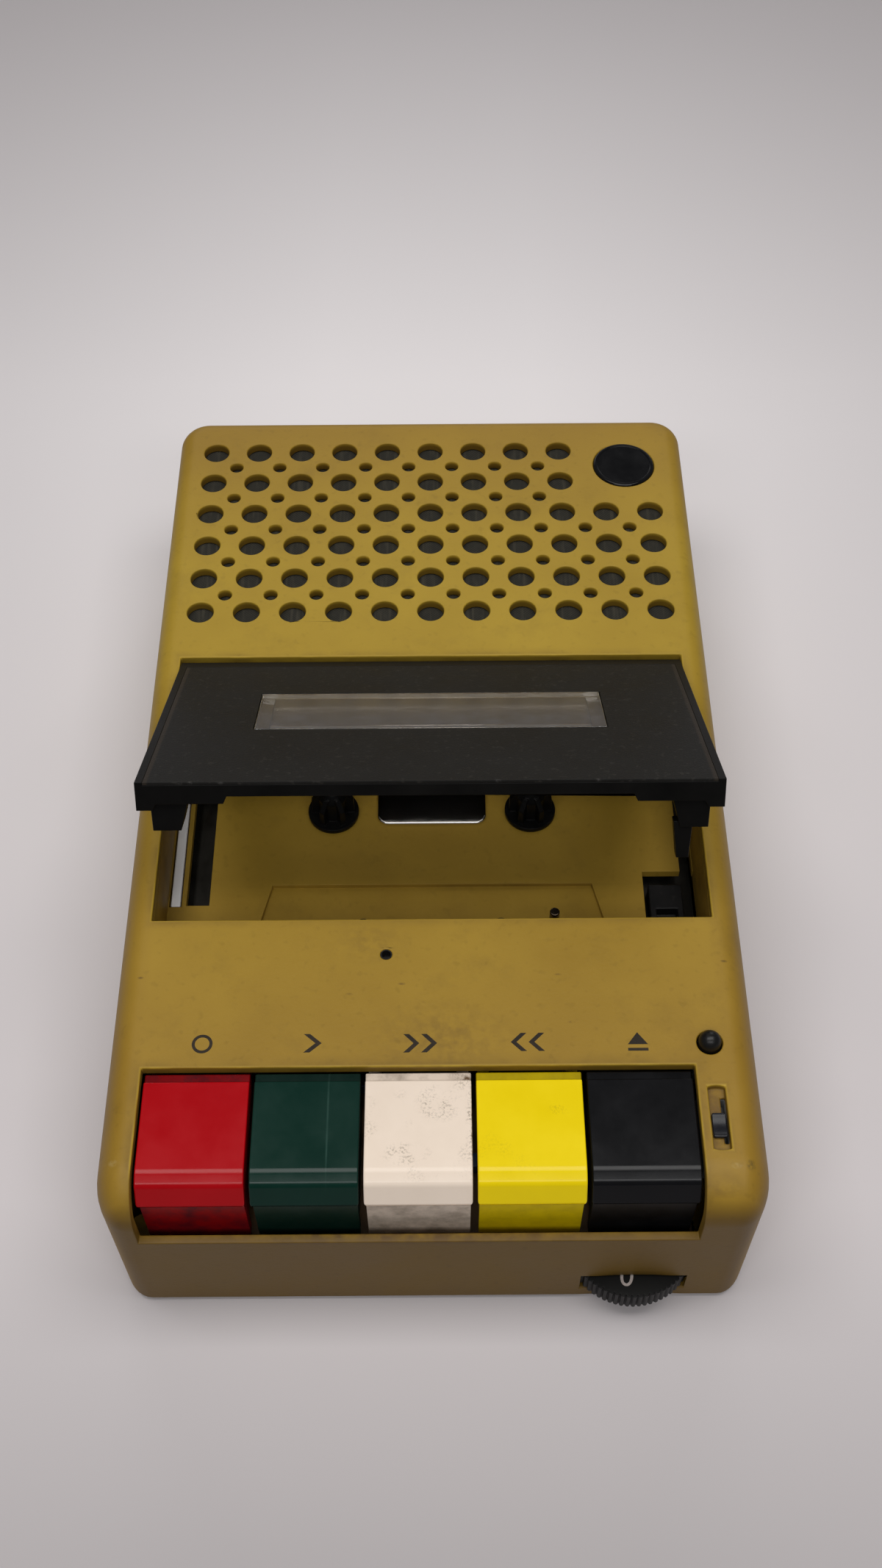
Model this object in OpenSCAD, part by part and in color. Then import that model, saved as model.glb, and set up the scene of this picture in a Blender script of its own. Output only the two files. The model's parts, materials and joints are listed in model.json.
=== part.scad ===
// Portable cassette recorder: five piano keys, a sprung cassette lid and a perforated speaker grille.
// Millimetres. X runs to the right, Y to the back and Z up. The feet stand on Z = 0.
// The lid is drawn open, as it stands after the eject key was pressed.

/* [Case] */
// Width of the case
body_w = 123; // [121:0.5:130]
// Length of the case from front to back
body_l = 206; // [204:0.5:214]
// Height of the case above its feet
case_h = 43; // [42:0.5:47]
// Thickness of the case walls
wall = 2.4; // [2.1:0.1:2.8]
// Radius of the rounding along the front edge
front_round = 9.5; // [8:0.5:10]
// Sideways radius of the front corners
front_corner = 6; // [5:0.5:8]
// Plan radius of the back corners
back_corner = 7; // [6:0.5:9]
// Radius of the rounding along the back edge
back_round = 4.5; // [3.5:0.5:5.5]
// Slope at the foot of the walls
bottom_ease = 0.8; // [0.4:0.1:1.2]
// Height of the rubber feet
foot_h = 2; // [1.5:0.1:3]
// Diameter of the rubber feet
foot_d = 11; // [8:0.5:13]

/* [Grille] */
// Distance between holes, across and along
grille_pitch = 10.4; // [10:0.1:10.5]
// Holes across the grille
grille_cols = 11; // [9:1:11]
// Rows of large holes
grille_rows = 6; // [5:1:6]
// Diameter of the large holes
big_hole_d = 6; // [4.5:0.1:6.4]
// Diameter of the small holes between them
small_hole_d = 3.1; // [2:0.1:3.6]
// From the back of the case to the first row
grille_back = 12.6; // [12:0.1:14]
// Diameter of the round badge in the corner of the grille
badge_d = 14.6; // [12:0.1:15]
// Height of the badge's rim above the case
badge_proud = 0.3; // [0.1:0.1:0.8]

/* [Cassette opening] */
// From the side of the case to the opening
opening_side = 6.25; // [6:0.05:7]
// Length of the opening for the lid
opening_l = 68; // [66.5:0.5:69]
// From the back of the case to the opening
opening_back = 78; // [77:0.5:80]
// From the top of the case down to the deck
well_depth = 15.6; // [14.8:0.1:16.5]
// Thickness of the deck
deck_t = 2; // [1.6:0.1:2.4]
// Gap all round the closed lid
lid_gap = 0.3; // [0.25:0.05:0.5]

/* [Lid] */
// Angle at which the lid stands open
lid_open = 29.8; // [20:0.2:35]
// Thickness of the lid with its cover plate
lid_t = 2.8; // [2.4:0.1:3.2]
// Thickness of the cover plate
lid_plate_t = 0.6; // [0.4:0.1:0.9]
// Width of the frame's edge beside the cover plate
lid_border = 1.5; // [1.2:0.1:2.4]
// Depth of the hinge below the top of the case
hinge_depth = 2.4; // [2.2:0.1:2.6]
// Diameter of the hinge pin
hinge_pin_d = 2; // [1.6:0.1:2.2]
// Depth of the lid's front skirt in the middle
skirt_mid = 3; // [2.8:0.1:3.6]
// Depth of the lid's front skirt beside the corners
skirt_end = 4.5; // [4:0.1:5.4]
// Length of the deep part of the skirt at each corner
skirt_end_w = 16.3; // [14:0.1:20]
// Depth of the corner blocks below the top of the lid
block_depth = 10.4; // [9:0.1:11.5]
// Width of the corner blocks
block_w = 7.2; // [6:0.1:9]
// Depth of the latch tongue below the top of the lid
tongue_depth = 17; // [16:0.1:18.5]
// Width of the window
window_w = 70.8; // [60:0.2:74]
// Length of the window
window_l = 19.8; // [16:0.2:22]
// From the back of the opening to the window
window_back = 21.9; // [20:0.1:24]

/* [Deck] */
// Distance between the two spindles
hub_gap = 42.5; // [40:0.5:44]
// From the back of the opening to the spindles
hub_back = 31.6; // [30:0.1:33]
// Diameter of a spindle's flange
spindle_flange_d = 10.9; // [9.5:0.1:12]
// Height of a spindle above the deck
spindle_h = 8.6; // [7:0.1:9]
// Width of the bright plate between the spindles
reflector_w = 23.6; // [20:0.2:26]
// Length of the bright plate
reflector_l = 16; // [12:0.5:20]
// Sideways place of the capstan
capstan_x = 24.8; // [23:0.1:26]
// From the front of the opening back to the capstan
capstan_front = 5.3; // [5:0.1:6]
// Diameter of the capstan
capstan_d = 2; // [1.6:0.1:2.4]

/* [Keys] */
// Number of keys
key_count = 5; // [5:1:5]
// Distance from key to key
key_pitch = 20.55; // [20:0.05:20.8]
// Gap between two keys
key_gap = 0.9; // [0.7:0.1:1.2]
// How far the middle of the key row lies left of the middle
key_shift = 2.65; // [2.2:0.05:3.1]
// Length of the key opening from the front of the case
key_open_l = 27.9; // [27:0.1:29]
// Depth of the sill of the key opening below the top
key_sill = 15.2; // [14.5:0.1:16]
// Depth of the key tops below the top of the case
key_low = 0.9; // [0.5:0.1:1.4]
// Distance of the key tips behind the front of the case
key_tip = 3.2; // [3:0.1:4]
// Diameter of the key shaft
key_shaft_d = 3; // [2.5:0.1:3.4]
// Angle through which a key is pressed
key_press = 8; // [6:0.5:9]

/* [Controls] */
// Width of the slide switch's slot
slot_w = 3.25; // [3:0.05:3.6]
// Length of the slide switch's slot
slot_l = 12.7; // [12:0.1:13.5]
// Length of the sliding knob
knob_l = 4.8; // [4:0.1:5.5]
// Diameter of the push button
button_d = 4.3; // [3.6:0.1:4.6]
// Height of the push button above the case
button_proud = 2.5; // [2:0.1:3.2]
// Travel of the push button
button_travel = 1.5; // [1:0.1:1.8]
// Diameter of the volume wheel
wheel_d = 25.4; // [24:0.2:26]
// Thickness of the volume wheel
wheel_t = 5.4; // [4.6:0.1:5.8]
// How far the volume wheel stands out in front
wheel_out = 4; // [3:0.1:4.6]
// Ribs round the volume wheel
wheel_ribs = 68; // [50:1:72]
// Sideways place of the volume wheel
wheel_x = 38.4; // [37:0.1:39]

/* [Drive] */
// Diameter of the flywheel
flywheel_d = 44; // [40:0.5:46]
// Diameter of the motor
motor_d = 26; // [24:0.5:26.5]
// Diameter of the motor pulley's groove
pulley_d = 8.4; // [7:0.1:9]
// Thickness of the drive belt
belt_t = 1.3; // [1:0.1:1.5]
// Diameter of the speaker
speaker_d = 66; // [60:0.5:67]
// Diameter of a battery cell
cell_d = 14.2; // [13.5:0.1:14.4]
// Length of a battery cell without its tip
cell_l = 49.5; // [48:0.1:50]

/* [Hidden] */

$fn = 48;
shell_fn = 40;
over = 1;
run_fit = 0.05;
slide_fit = 0.3;

top_z = foot_h + case_h;
inner_top = top_z - wall;
front_y = wheel_out / 2 - body_l / 2;
back_y = front_y + body_l;
inner_x = body_w / 2 - wall;
inner_front = front_y + wall;
inner_back = back_y - wall;

// Bottom cover and what stands on it
cover_t = 2.4;
cover_top = foot_h + cover_t;
screw_d = 2.6;
screw_head_d = 5.2;
boss_d = 7;
boss_x = inner_x - boss_d / 2 - 0.4;
boss_front = inner_front + boss_d / 2 + 1.6;
boss_back = inner_back - boss_d / 2 - 0.4;
front_boss_top = cover_top + 13.4;
screw_reach = 10;
screw_bore = 12;
back_boss_top = inner_top - 4;
web_t = 1.6;
edge_z = foot_h - 1.5;
foot_side = 15;
foot_front = 24;
foot_back = 11;
trim_hole_x = -8.9;
trim_hole_front = 8;
trim_hole_d = 2.3;

// Grille
row0_y = back_y - grille_back;
grille_mid_y = row0_y - (grille_rows - 1) * grille_pitch / 2;
grille_half_w = (grille_cols - 1) * grille_pitch / 2;
badge_x = grille_half_w - grille_pitch / 2;
badge_y = row0_y - grille_pitch / 2;
badge_skip = 2;
badge_depth = 1.2;

// Cassette opening
opening_w = body_w - 2 * opening_side;
open_back = back_y - opening_back;
open_front = open_back - opening_l;
deck_z = top_z - well_depth;
deck_under = deck_z - deck_t;
deck_front = open_front - 16.5;
deck_wall = 1.6;
wall_land = 0.5;
rail_w = 2;
rail_x = -opening_w / 2 + slide_fit + 0.2;
rail_y0 = open_front + 13.2;
rail_y1 = open_back - 23.6;
pin_gap = 28.2;
pin_d = 3;
pin_h = 4.8;
pin_tip = 0.4;
reflector_t = 1;
latch_x0 = opening_w / 2 - 10.8;
latch_l = 20.9;
catch_in = 1.1;
catch_w = 7;
catch_front = 8.4;
catch_l = 9.6;
catch_wall = 1.3;
catch_mouth = 3.6;
catch_floor = 2;
side_slot_w = 4.8;
side_slot_x = -opening_w / 2 + 3.8;
deck_screw_x = opening_w / 2 - 9.25;
deck_screw_in = 5;
deck_screws = [[-deck_screw_x, deck_front + deck_screw_in], [deck_screw_x, deck_front + deck_screw_in],
    [-14, open_back - deck_screw_in], [deck_screw_x, open_back - deck_screw_in]];

// Lid, drawn closed and then turned about its hinge
hinge_y = open_back - lid_gap - hinge_depth + 0.2;
hinge_z = top_z - hinge_depth;
barrel_r = hinge_depth - 0.2;
lid_half = opening_w / 2 - lid_gap;
lid_front = open_front + lid_gap;
lid_base_top = top_z - lid_plate_t;
lid_under = top_z - lid_t;
skirt_t = 1.8;
block_in = 2.4;
block_back = 1;
block_l = 6;
block_taper = 1.6;
tongue_w = 3.6;
tongue_t = 2.6;
window_y0 = open_back - window_back - window_l;
window_rim = 1.2;
window_fit = 0.1;
pin_reach = 3.2;
spring_d = hinge_pin_d + 0.9;
spring_x = 40;
spring_half = 5;
spring_gap = 1;
cheek_depth = 5.8;
cheek_w = 3;
cheek_l = 8;
cheek_slope = 4;
cheek_drop = 2.1;
skirt_slope = 0.7;
cheek_back = 6;

// Chassis and drive
chassis_t = 1.5;
chassis_gap = 3;
chassis_hole_half = 10;
chassis_hole_front = 12;
chassis_hole_back = 20;
chassis_top = deck_under - chassis_gap;
chassis_under = chassis_top - chassis_t;
hub_y = open_back - hub_back;
capstan_y = open_front + capstan_front;
fly_z0 = cover_top + 2.8;
fly_t = 6;
fly_hub_d = 8;
fly_hub_h = 2.6;
capstan_h = 9.4;
bush_d = 6;
groove_depth = 2;
groove_w = 2.4;
belt_z = fly_z0 + fly_t / 2;
motor_x = -hub_gap / 2 - 19.8;
motor_y = hub_y + 18.2;
motor_z0 = belt_z + 1.6;
reel_d = 26;
reel_t = 3;
reel_z0 = chassis_under - 2.4 - reel_t;
spindle_shaft_d = 3;
recess_depth = 1.2;
recess_l = 18.1;
recess_back_w = 67.2;
recess_front_w = 84;

// Heads
carriage_t = 1.2;
carriage_z = deck_z - recess_depth + slide_fit;
carriage_top = carriage_z + carriage_t;
carriage_back = open_front - 3;
head_travel = 4.6;
head_h = 9.6;
head_nose = 2;
carriage_left = 26;
carriage_right = 36;
carriage_gap = 3;
carriage_lip = 4;
guide_spots = [-20, 12];
guide_w = 3.2;
guide_l = 6;
guide_front = 5;
play_head_w = 12;
play_head_l = 11;
erase_head_w = 7;
erase_head_l = 8;
erase_head_x = -15.5;
pinch_y = carriage_back - 4.5;
pinch_d = 11;
pinch_top = carriage_top + 9;
pinch_axle_d = 2;
pinch_axle_top = carriage_top + 10.4;

// Keys
key_w = key_pitch - key_gap;
key_open_w = key_count * key_pitch + 0.2;
key_left = -key_shift - key_open_w / 2;
key_right = key_left + key_open_w;
key_back = front_y + key_open_l;
sill_z = top_z - key_sill;
sill_t = 1.7;
sill_drop = 3;
key_top = top_z - key_low;
key_t = 1.8;
key_room = 0.5;
key_step_l = 1.9;
key_step_h = 0.8;
key_side_h = 15.5;
nose_tip = front_y + key_tip;
shoulder_in = 4.6;
shoulder_r = 3;
brow_in = 2.3;
brow_drop = 1;
brow_r = 2;
lip_drop = 5.6;
lip_h = 0.6;
lip_r = 1.1;
face_y = nose_tip + 1;
face_side = 0.35;
face_low = sill_z - 6.4;
shaft_y = key_back + 11.1;
shaft_z = top_z - 9;
key_shaft_r = key_shaft_d / 2;
arm_r = 3.2;
ear_t = 1.5;

// Controls beside the keys
strip_x = key_right + 3.45;
slot_mid = front_y + 17.25;
slot_depth = 1.5;
knob_mid = front_y + 16;
knob_back = 4.6;
knob_front = 2.2;
knob_drop = 0.6;
knob_dish = 0.35;
slit_w = 0.9;
stem_w = 0.45;
stem_l = 1.6;
switch_w = 5.6;
switch_h = 8;
switch_front = 6.2;
switch_back = 8.4;
button_x = strip_x - 0.3;
button_y = key_back + 4.5;

// Volume wheel
wheel_y = front_y - wheel_out + wheel_d / 2;
wheel_z = foot_h + 3.5;
wheel_shaft_d = 4;
dish_r = 10.4;
dish_depth = 0.5;
dish_z = wheel_z + wheel_t + 3.5 - dish_r;

// Circuit board and sockets
board_t = 1.6;
can_d = 7;
can_h = 3.4;
can_edge = 10;
can_pitch = 13;
chip_l = 9;
chip_w = 3;
chip_h = 3;
chip_edge = 8;
chip_pitch = 15;
chip_front = 14;
pot_h = 5.3;
pot_d = 11;
board_z = wheel_z + wheel_t + pot_h;
board_left = -inner_x + 9;
board_right = wheel_x + 11;
board_front = inner_front + 2;
board_back = open_front - 14;
socket_z = foot_h + 22;
din_x = -34;
power_x = -10;
din_bore_d = 13.4;
din_collar_d = 16;
power_bore_d = 5.6;
power_collar_d = 9;
socket_l = 9;

// Battery box
cell_pitch = cell_d + 0.6;
cell_rows = 3;
cell_side = 0.6;
cell_mid = 0.8;
nub_l = 1;
nub_d = 5;
contact_t = 0.5;
contact_w = 10;
box_wall = 1.4;
cell_z = cover_top + 0.1 + cell_d / 2;
box_half = cell_l + 3.4;
box_l = cell_rows * cell_pitch + 1.2;
box_y0 = grille_mid_y - box_l / 2;
box_top = cover_top + 0.6 + cell_d + 0.6;
door_t = 1.8;
door_rim = 3;
door_ribs = 5;
door_rib_half = 12;
door_rib_w = 1;
door_rib_edge = 8;
door_rib_depth = 0.5;
cloth_t = 0.5;
cloth_over_x = 3.6;
cloth_over_y = 6;
cloth_half_l = (grille_rows - 1) * grille_pitch / 2 + cloth_over_y;

// Speaker
basket_t = 1.2;
basket_r = 17;
basket_lean = 0.6;
basket_depth = 12.6;
rim_w = 3.4;
rim_out = 2;
coil_r = 8;
magnet_d = 32;
magnet_h = 6;
pole_d = 14;
pole_h = 2.6;
cone_edge = 4.6;
cone_roll = 4;
cone_t = 0.6;
cone_depth = 7.6;
dome_r = 6;
dome_depth = 5;

// Two dimensional and repeated forms

// A rounded corner p of an outline between its neighbours a and b: the circle's middle, and its end towards a
function unit(v) = v / norm(v);
function half_turn(p, a, b) = acos(unit(a - p) * unit(b - p)) / 2;
function round_mid(p, a, b, r) = p + unit(unit(a - p) + unit(b - p)) * r / sin(half_turn(p, a, b));
function round_end(p, a, b, r) = p + unit(a - p) * r / tan(half_turn(p, a, b));

module right_half() intersection() {
    children();
    translate([0, -body_w]) square([body_w, 2 * body_w]);
}

module slab(x0, x1, y0, y1, z0, z1) translate([x0, y0, z0]) cube([x1 - x0, y1 - y0, z1 - z0]);

module post(x, y, z0, z1, d) translate([x, y, z0]) cylinder(h = z1 - z0, d = d);

module tube(x, y, z0, z1, od, id) difference() {
    post(x, y, z0, z1, od);
    post(x, y, z0 - over, z1 + over, id);
}

module bar_x(x0, x1, y, z, d) translate([x0, y, z]) rotate([0, 90, 0]) cylinder(h = x1 - x0, d = d);

module bar_y(x, y0, y1, z, d) translate([x, y0, z]) rotate([-90, 0, 0]) cylinder(h = y1 - y0, d = d);

// An outline drawn in Y and Z, pulled along X
module pull_x(x0, x1) translate([x0, 0, 0]) rotate([90, 0, 90]) linear_extrude(x1 - x0) children();

// An outline drawn in X and Z, pulled along Y
module pull_y(y0, y1) translate([0, y1, 0]) rotate([90, 0, 0]) linear_extrude(y1 - y0) children();

module rounded(w, l, r) {
    square([w - 2 * r, l], center = true);
    square([w, l - 2 * r], center = true);
    for (sx = [-1, 1], sy = [-1, 1]) translate([sx * (w / 2 - r), sy * (l / 2 - r)]) circle(r);
}

// The case's form: domed front corners, softer back corners

module case_dots(inset) for (side = [-1, 1]) {
    translate([side * (body_w / 2 - front_corner), front_y + front_round])
        scale([front_corner - inset, front_round - inset]) circle(1, $fn = shell_fn);
    translate([side * (body_w / 2 - back_corner), back_y - back_corner])
        circle(back_corner - inset, $fn = shell_fn);
}

module case_shoulders(inset) for (side = [-1, 1]) {
    translate([side * (body_w / 2 - front_corner), front_y + front_round, top_z - front_round])
        scale([front_corner - inset, front_round - inset, front_round - inset])
            rotate_extrude($fn = shell_fn) right_half() circle(1, $fn = shell_fn);
    translate([side * (body_w / 2 - back_corner), back_y - back_corner, top_z - back_round])
        rotate_extrude($fn = shell_fn) right_half()
            translate([back_corner - back_round, 0]) circle(back_round - inset, $fn = shell_fn);
}

module case_form(inset, low) hull() {
    translate([0, 0, low]) linear_extrude(bottom_ease / 4) case_dots(inset + bottom_ease);
    translate([0, 0, low + bottom_ease]) linear_extrude(top_z - front_round - low - bottom_ease)
        case_dots(inset);
    case_shoulders(inset);
}

module grille_holes() {
    for (row = [0 : grille_rows - 1], col = [0 : grille_cols - 1])
        if (!(row < badge_skip && col >= grille_cols - badge_skip))
            translate([col * grille_pitch - grille_half_w, row0_y - row * grille_pitch]) circle(d = big_hole_d);
    for (row = [0 : grille_rows - 2], col = [0 : grille_cols - 2])
        if (!(row < badge_skip && col >= grille_cols - badge_skip - 1))
            translate([(col + 0.5) * grille_pitch - grille_half_w, row0_y - (row + 0.5) * grille_pitch])
                circle(d = small_hole_d);
}

module slot_outline() intersection() {
    square([slot_w, slot_l], center = true);
    circle(d = slot_l);
}

// The shallow thumb dish over the volume wheel, and the wheel's slot
module wheel_mouth() {
    ball_r = (dish_r * dish_r + dish_depth * dish_depth) / (2 * dish_depth);
    translate([wheel_x, front_y + dish_depth - ball_r, dish_z]) sphere(ball_r);
    post(wheel_x, wheel_y, wheel_z - 2 * slide_fit, wheel_z + wheel_t + slide_fit, wheel_d + 4 * slide_fit);
}

module case_bosses() for (side = [-1, 1]) {
    post(side * boss_x, boss_front, cover_top, front_boss_top, boss_d);
    post(side * boss_x, boss_back, cover_top, back_boss_top, boss_d);
    for (spot = [[boss_front, front_boss_top], [boss_back, back_boss_top]])
        slab(side * (boss_x + inner_x + wall / 2) / 2 - (inner_x + wall / 2 - boss_x) / 2,
             side * (boss_x + inner_x + wall / 2) / 2 + (inner_x + wall / 2 - boss_x) / 2,
             spot[0] - web_t / 2, spot[0] + web_t / 2, cover_top, spot[1]);
}

module hinge_lugs() for (side = [0, 1]) mirror([side, 0, 0])
    slab(opening_w / 2 + deck_wall, inner_x + wall / 4, hinge_y - 4, hinge_y + 4, hinge_z - 3, inner_top + wall / 4);

// The slit that the slide knob's stem runs in, along the foot of the slot's right wall
module knob_slit(z0, z1) slab(strip_x + slot_w / 2 - slit_w, strip_x + slot_w / 2,
    knob_mid - stem_l / 2 - knob_front - slide_fit, knob_mid + stem_l / 2 + knob_back + slide_fit, z0, z1);

module upper_case() color("goldenrod") difference() {
    union() {
        difference() {
            case_form(0, edge_z);
            case_form(wall, edge_z - 3 * bottom_ease);
        }
        case_bosses();
        hinge_lugs();
    }
    translate([0, 0, inner_top - over]) linear_extrude(wall + 2 * over) grille_holes();
    post(badge_x, badge_y, top_z - badge_depth, top_z + over, badge_d + 0.2);
    slab(-opening_w / 2, opening_w / 2, open_front, open_back, inner_top - over, top_z + over);
    bar_x(-opening_w / 2 - pin_reach, opening_w / 2 + pin_reach, hinge_y, hinge_z, hinge_pin_d);
    slab(key_left, key_right, front_y - over, key_back, sill_z, top_z + over);
    slab(key_left, key_right, front_y + sill_t, inner_front + over, sill_z - sill_drop, sill_z + over);
    translate([strip_x, slot_mid, top_z - slot_depth]) linear_extrude(slot_depth + over) slot_outline();
    knob_slit(inner_top - over, top_z);
    post(button_x, button_y, inner_top - over, top_z + over, button_d + 2 * slide_fit);
    post(trim_hole_x, open_front - trim_hole_front, inner_top - over, top_z + over, trim_hole_d);
    wheel_mouth();
    for (side = [-1, 1], y = [boss_front, boss_back]) post(side * boss_x, y, cover_top - over, cover_top + screw_bore, screw_d);
    bar_y(din_x, inner_back - over, back_y + over, socket_z, din_collar_d);
    bar_y(power_x, inner_back - over, back_y + over, socket_z, power_collar_d);
}

// Underside

module bottom_cover() color("goldenrod") difference() {
    union() {
        translate([0, 0, foot_h]) linear_extrude(cover_t) hull() case_dots(wall + slide_fit);
        slab(-box_half - box_wall, box_half + box_wall, box_y0 - box_wall, box_y0 + box_l + box_wall,
             cover_top - over, box_top + box_wall);
        for (x = [board_left + 5, 0], y = [board_front + 14, board_back - 5])
            post(x, y, cover_top - over, board_z, 6);
        post(wheel_x, wheel_y, cover_top - over, wheel_z - slide_fit, 7);
    }
    slab(-box_half, box_half, box_y0, box_y0 + box_l, cover_top, box_top);
    slab(-box_half + door_rim, box_half - door_rim, box_y0 + door_rim, box_y0 + box_l - door_rim,
         foot_h - over, cover_top + over);
    slab(-box_half + door_rim / 2, box_half - door_rim / 2, box_y0 + door_rim / 2,
         box_y0 + box_l - door_rim / 2, foot_h - over, foot_h + door_t);
    for (side = [-1, 1], y = [boss_front, boss_back]) {
        post(side * boss_x, y, foot_h - over, cover_top + over, screw_d + 0.4);
        post(side * boss_x, y, foot_h - over, foot_h + cover_t / 2, screw_head_d + 0.4);
    }
}

module battery_door() color("goldenrod") difference() {
    slab(-box_half + door_rim / 2 + slide_fit, box_half - door_rim / 2 - slide_fit,
         box_y0 + door_rim / 2 + slide_fit, box_y0 + box_l - door_rim / 2 - slide_fit,
         foot_h, foot_h + door_t);
    for (i = [0 : door_ribs - 1]) translate([-door_rib_half, box_y0 + box_l - door_rib_edge - (2 * i + 1) * door_rib_w,
                                             foot_h - over])
        cube([2 * door_rib_half, door_rib_w, over + door_rib_depth]);
}

module rubber_feet() color("#2b2b2b")
    for (side = [-1, 1], y = [front_y + foot_front, back_y - foot_back])
        translate([side * (body_w / 2 - foot_side), y, 0]) cylinder(h = foot_h, d1 = foot_d - 1.4, d2 = foot_d);

module case_screws() color("silver")
    for (side = [-1, 1], y = [boss_front, boss_back]) {
        post(side * boss_x, y, foot_h + 0.2, foot_h + cover_t / 2, screw_head_d);
        post(side * boss_x, y, foot_h + cover_t / 2, cover_top + screw_reach, screw_d);
    }

module round_badge() color("#161616") translate([badge_x, badge_y, top_z - badge_depth]) {
    cylinder(h = badge_depth, d = badge_d);
    translate([0, 0, badge_depth]) difference() {
        cylinder(h = badge_proud, d1 = badge_d, d2 = badge_d - 2 * badge_proud);
        translate([0, 0, badge_proud / 3]) cylinder(h = badge_proud, d = badge_d - 1.8);
    }
}

// Cassette lid

module as_opened() translate([0, hinge_y, hinge_z]) rotate([-lid_open, 0, 0])
    translate([0, -hinge_y, -hinge_z]) children();

// The right half of the front skirt's outline in X and Z: shallow in the middle, deeper in two steps outwards
module skirt_outline() {
    step = lid_half - skirt_end_w;
    cheek = lid_half - cheek_w;
    polygon([[-over, lid_base_top], [-over, top_z - skirt_mid], [step - skirt_slope, top_z - skirt_mid],
             [step, top_z - skirt_end], [cheek - skirt_slope, top_z - skirt_end], [cheek, top_z - cheek_depth],
             [lid_half, top_z - cheek_depth], [lid_half, lid_base_top]]);
}

module block_outline() {
    outer = lid_half - block_in;
    polygon([[outer, lid_base_top], [outer - 0.3, top_z - block_depth],
             [outer - block_w + block_taper, top_z - block_depth], [outer - block_w, top_z - skirt_end],
             [outer - block_w, lid_base_top]]);
}

module tongue_outline() {
    outer = lid_half - block_in - 3.2;
    polygon([[outer, top_z - block_depth + over], [outer - 0.5, top_z - tongue_depth],
             [outer - tongue_w + 0.8, top_z - tongue_depth], [outer - tongue_w, top_z - block_depth + over]]);
}

module side_skirt() pull_x(-lid_half, -lid_half + lid_border)
    polygon([[lid_front, lid_base_top], [lid_front, top_z - cheek_depth], [lid_front + cheek_l, top_z - cheek_depth],
             [lid_front + cheek_l + cheek_slope, top_z - skirt_mid - cheek_drop],
             [hinge_y - cheek_back - cheek_slope, top_z - skirt_mid - cheek_drop], [hinge_y - cheek_back, lid_under],
             [hinge_y - cheek_back, lid_base_top]]);

module lid_frame() color("#1b1b1b") as_opened() difference() {
    union() {
        slab(-lid_half, lid_half, lid_front, hinge_y, lid_under, lid_base_top);
        for (side = [0, 1]) mirror([side, 0, 0]) {
            slab(-lid_half, -lid_half + lid_border, lid_front, hinge_y, lid_under, top_z);
            side_skirt();
            pull_y(lid_front, lid_front + skirt_t) skirt_outline();
            pull_y(lid_front + block_back, lid_front + block_back + block_l) block_outline();
        }
        slab(-lid_half, lid_half, hinge_y - 3, hinge_y, lid_under, top_z);
        bar_x(-lid_half, lid_half, hinge_y, hinge_z, 2 * barrel_r);
        pull_y(lid_front + block_back + 0.4, lid_front + block_back + 0.4 + tongue_t) tongue_outline();
        slab(-window_w / 2 - 3, window_w / 2 + 3, window_y0 - 3, window_y0 + window_l + 3, lid_under - 1, lid_under);
    }
    slab(-window_w / 2, window_w / 2, window_y0, window_y0 + window_l, lid_under - 2 * over, top_z + over);
    bar_x(-lid_half - over, lid_half + over, hinge_y, hinge_z, hinge_pin_d + 2 * run_fit);
    for (side = [-1, 1]) bar_x(side * spring_x - spring_half - spring_gap, side * spring_x + spring_half + spring_gap,
                               hinge_y, hinge_z, spring_d + 2 * slide_fit);
}

module lid_plate() color("#202020") as_opened() difference() {
    slab(-lid_half + lid_border, lid_half - lid_border, lid_front, hinge_y - 3, lid_base_top, top_z);
    slab(-window_w / 2, window_w / 2, window_y0, window_y0 + window_l, lid_under, top_z + over);
}

module lid_window() color("#9fb4b8", 0.4) as_opened() difference() {
    slab(-window_w / 2 + window_fit, window_w / 2 - window_fit, window_y0 + window_fit,
         window_y0 + window_l - window_fit, lid_under - 1, top_z);
    slab(-window_w / 2 + 3, window_w / 2 - 3, window_y0 + 2.4, window_y0 + window_l - 2.4,
         lid_under - 2, top_z - window_rim);
}

module lid_hinge_pin() color("silver")
    bar_x(-opening_w / 2 - pin_reach, opening_w / 2 + pin_reach, hinge_y, hinge_z, hinge_pin_d);

// Spring sleeves round the hinge pin, in the two cut-outs of the barrel
module lid_springs() color("#8d8d8d") for (side = [-1, 1]) difference() {
    bar_x(side * spring_x - spring_half, side * spring_x + spring_half, hinge_y, hinge_z, spring_d);
    bar_x(side * spring_x - spring_half - over, side * spring_x + spring_half + over, hinge_y, hinge_z, hinge_pin_d);
}

module lid_rail() color("silver")
    slab(rail_x, rail_x + rail_w, rail_y0, rail_y1, chassis_top, deck_z - 0.2);

module lid_catch() color("#2a2a2a") difference() {
    left = latch_x0 + catch_in;
    front = open_front + catch_front;
    slab(left, left + catch_w, front, front + catch_l, chassis_top, deck_z - 2 * slide_fit);
    slab(left + catch_wall, left + catch_w - catch_wall, front - over, front + catch_mouth,
         chassis_top + catch_floor, deck_z);
}

// Cassette bay

module deck_recess() polygon([[-recess_back_w / 2, open_front + recess_l], [recess_back_w / 2, open_front + recess_l],
                              [recess_front_w / 2, deck_front - over], [-recess_front_w / 2, deck_front - over]]);

// A side wall's outline: its outer edge slopes clear of the rounding inside the case
module deck_side_outline() {
    inner = opening_w / 2;
    polygon([[inner, deck_under], [inner, inner_top], [inner + wall_land, inner_top],
             [inner + deck_wall, inner_top - deck_wall], [inner + deck_wall, deck_under]]);
}

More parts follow.
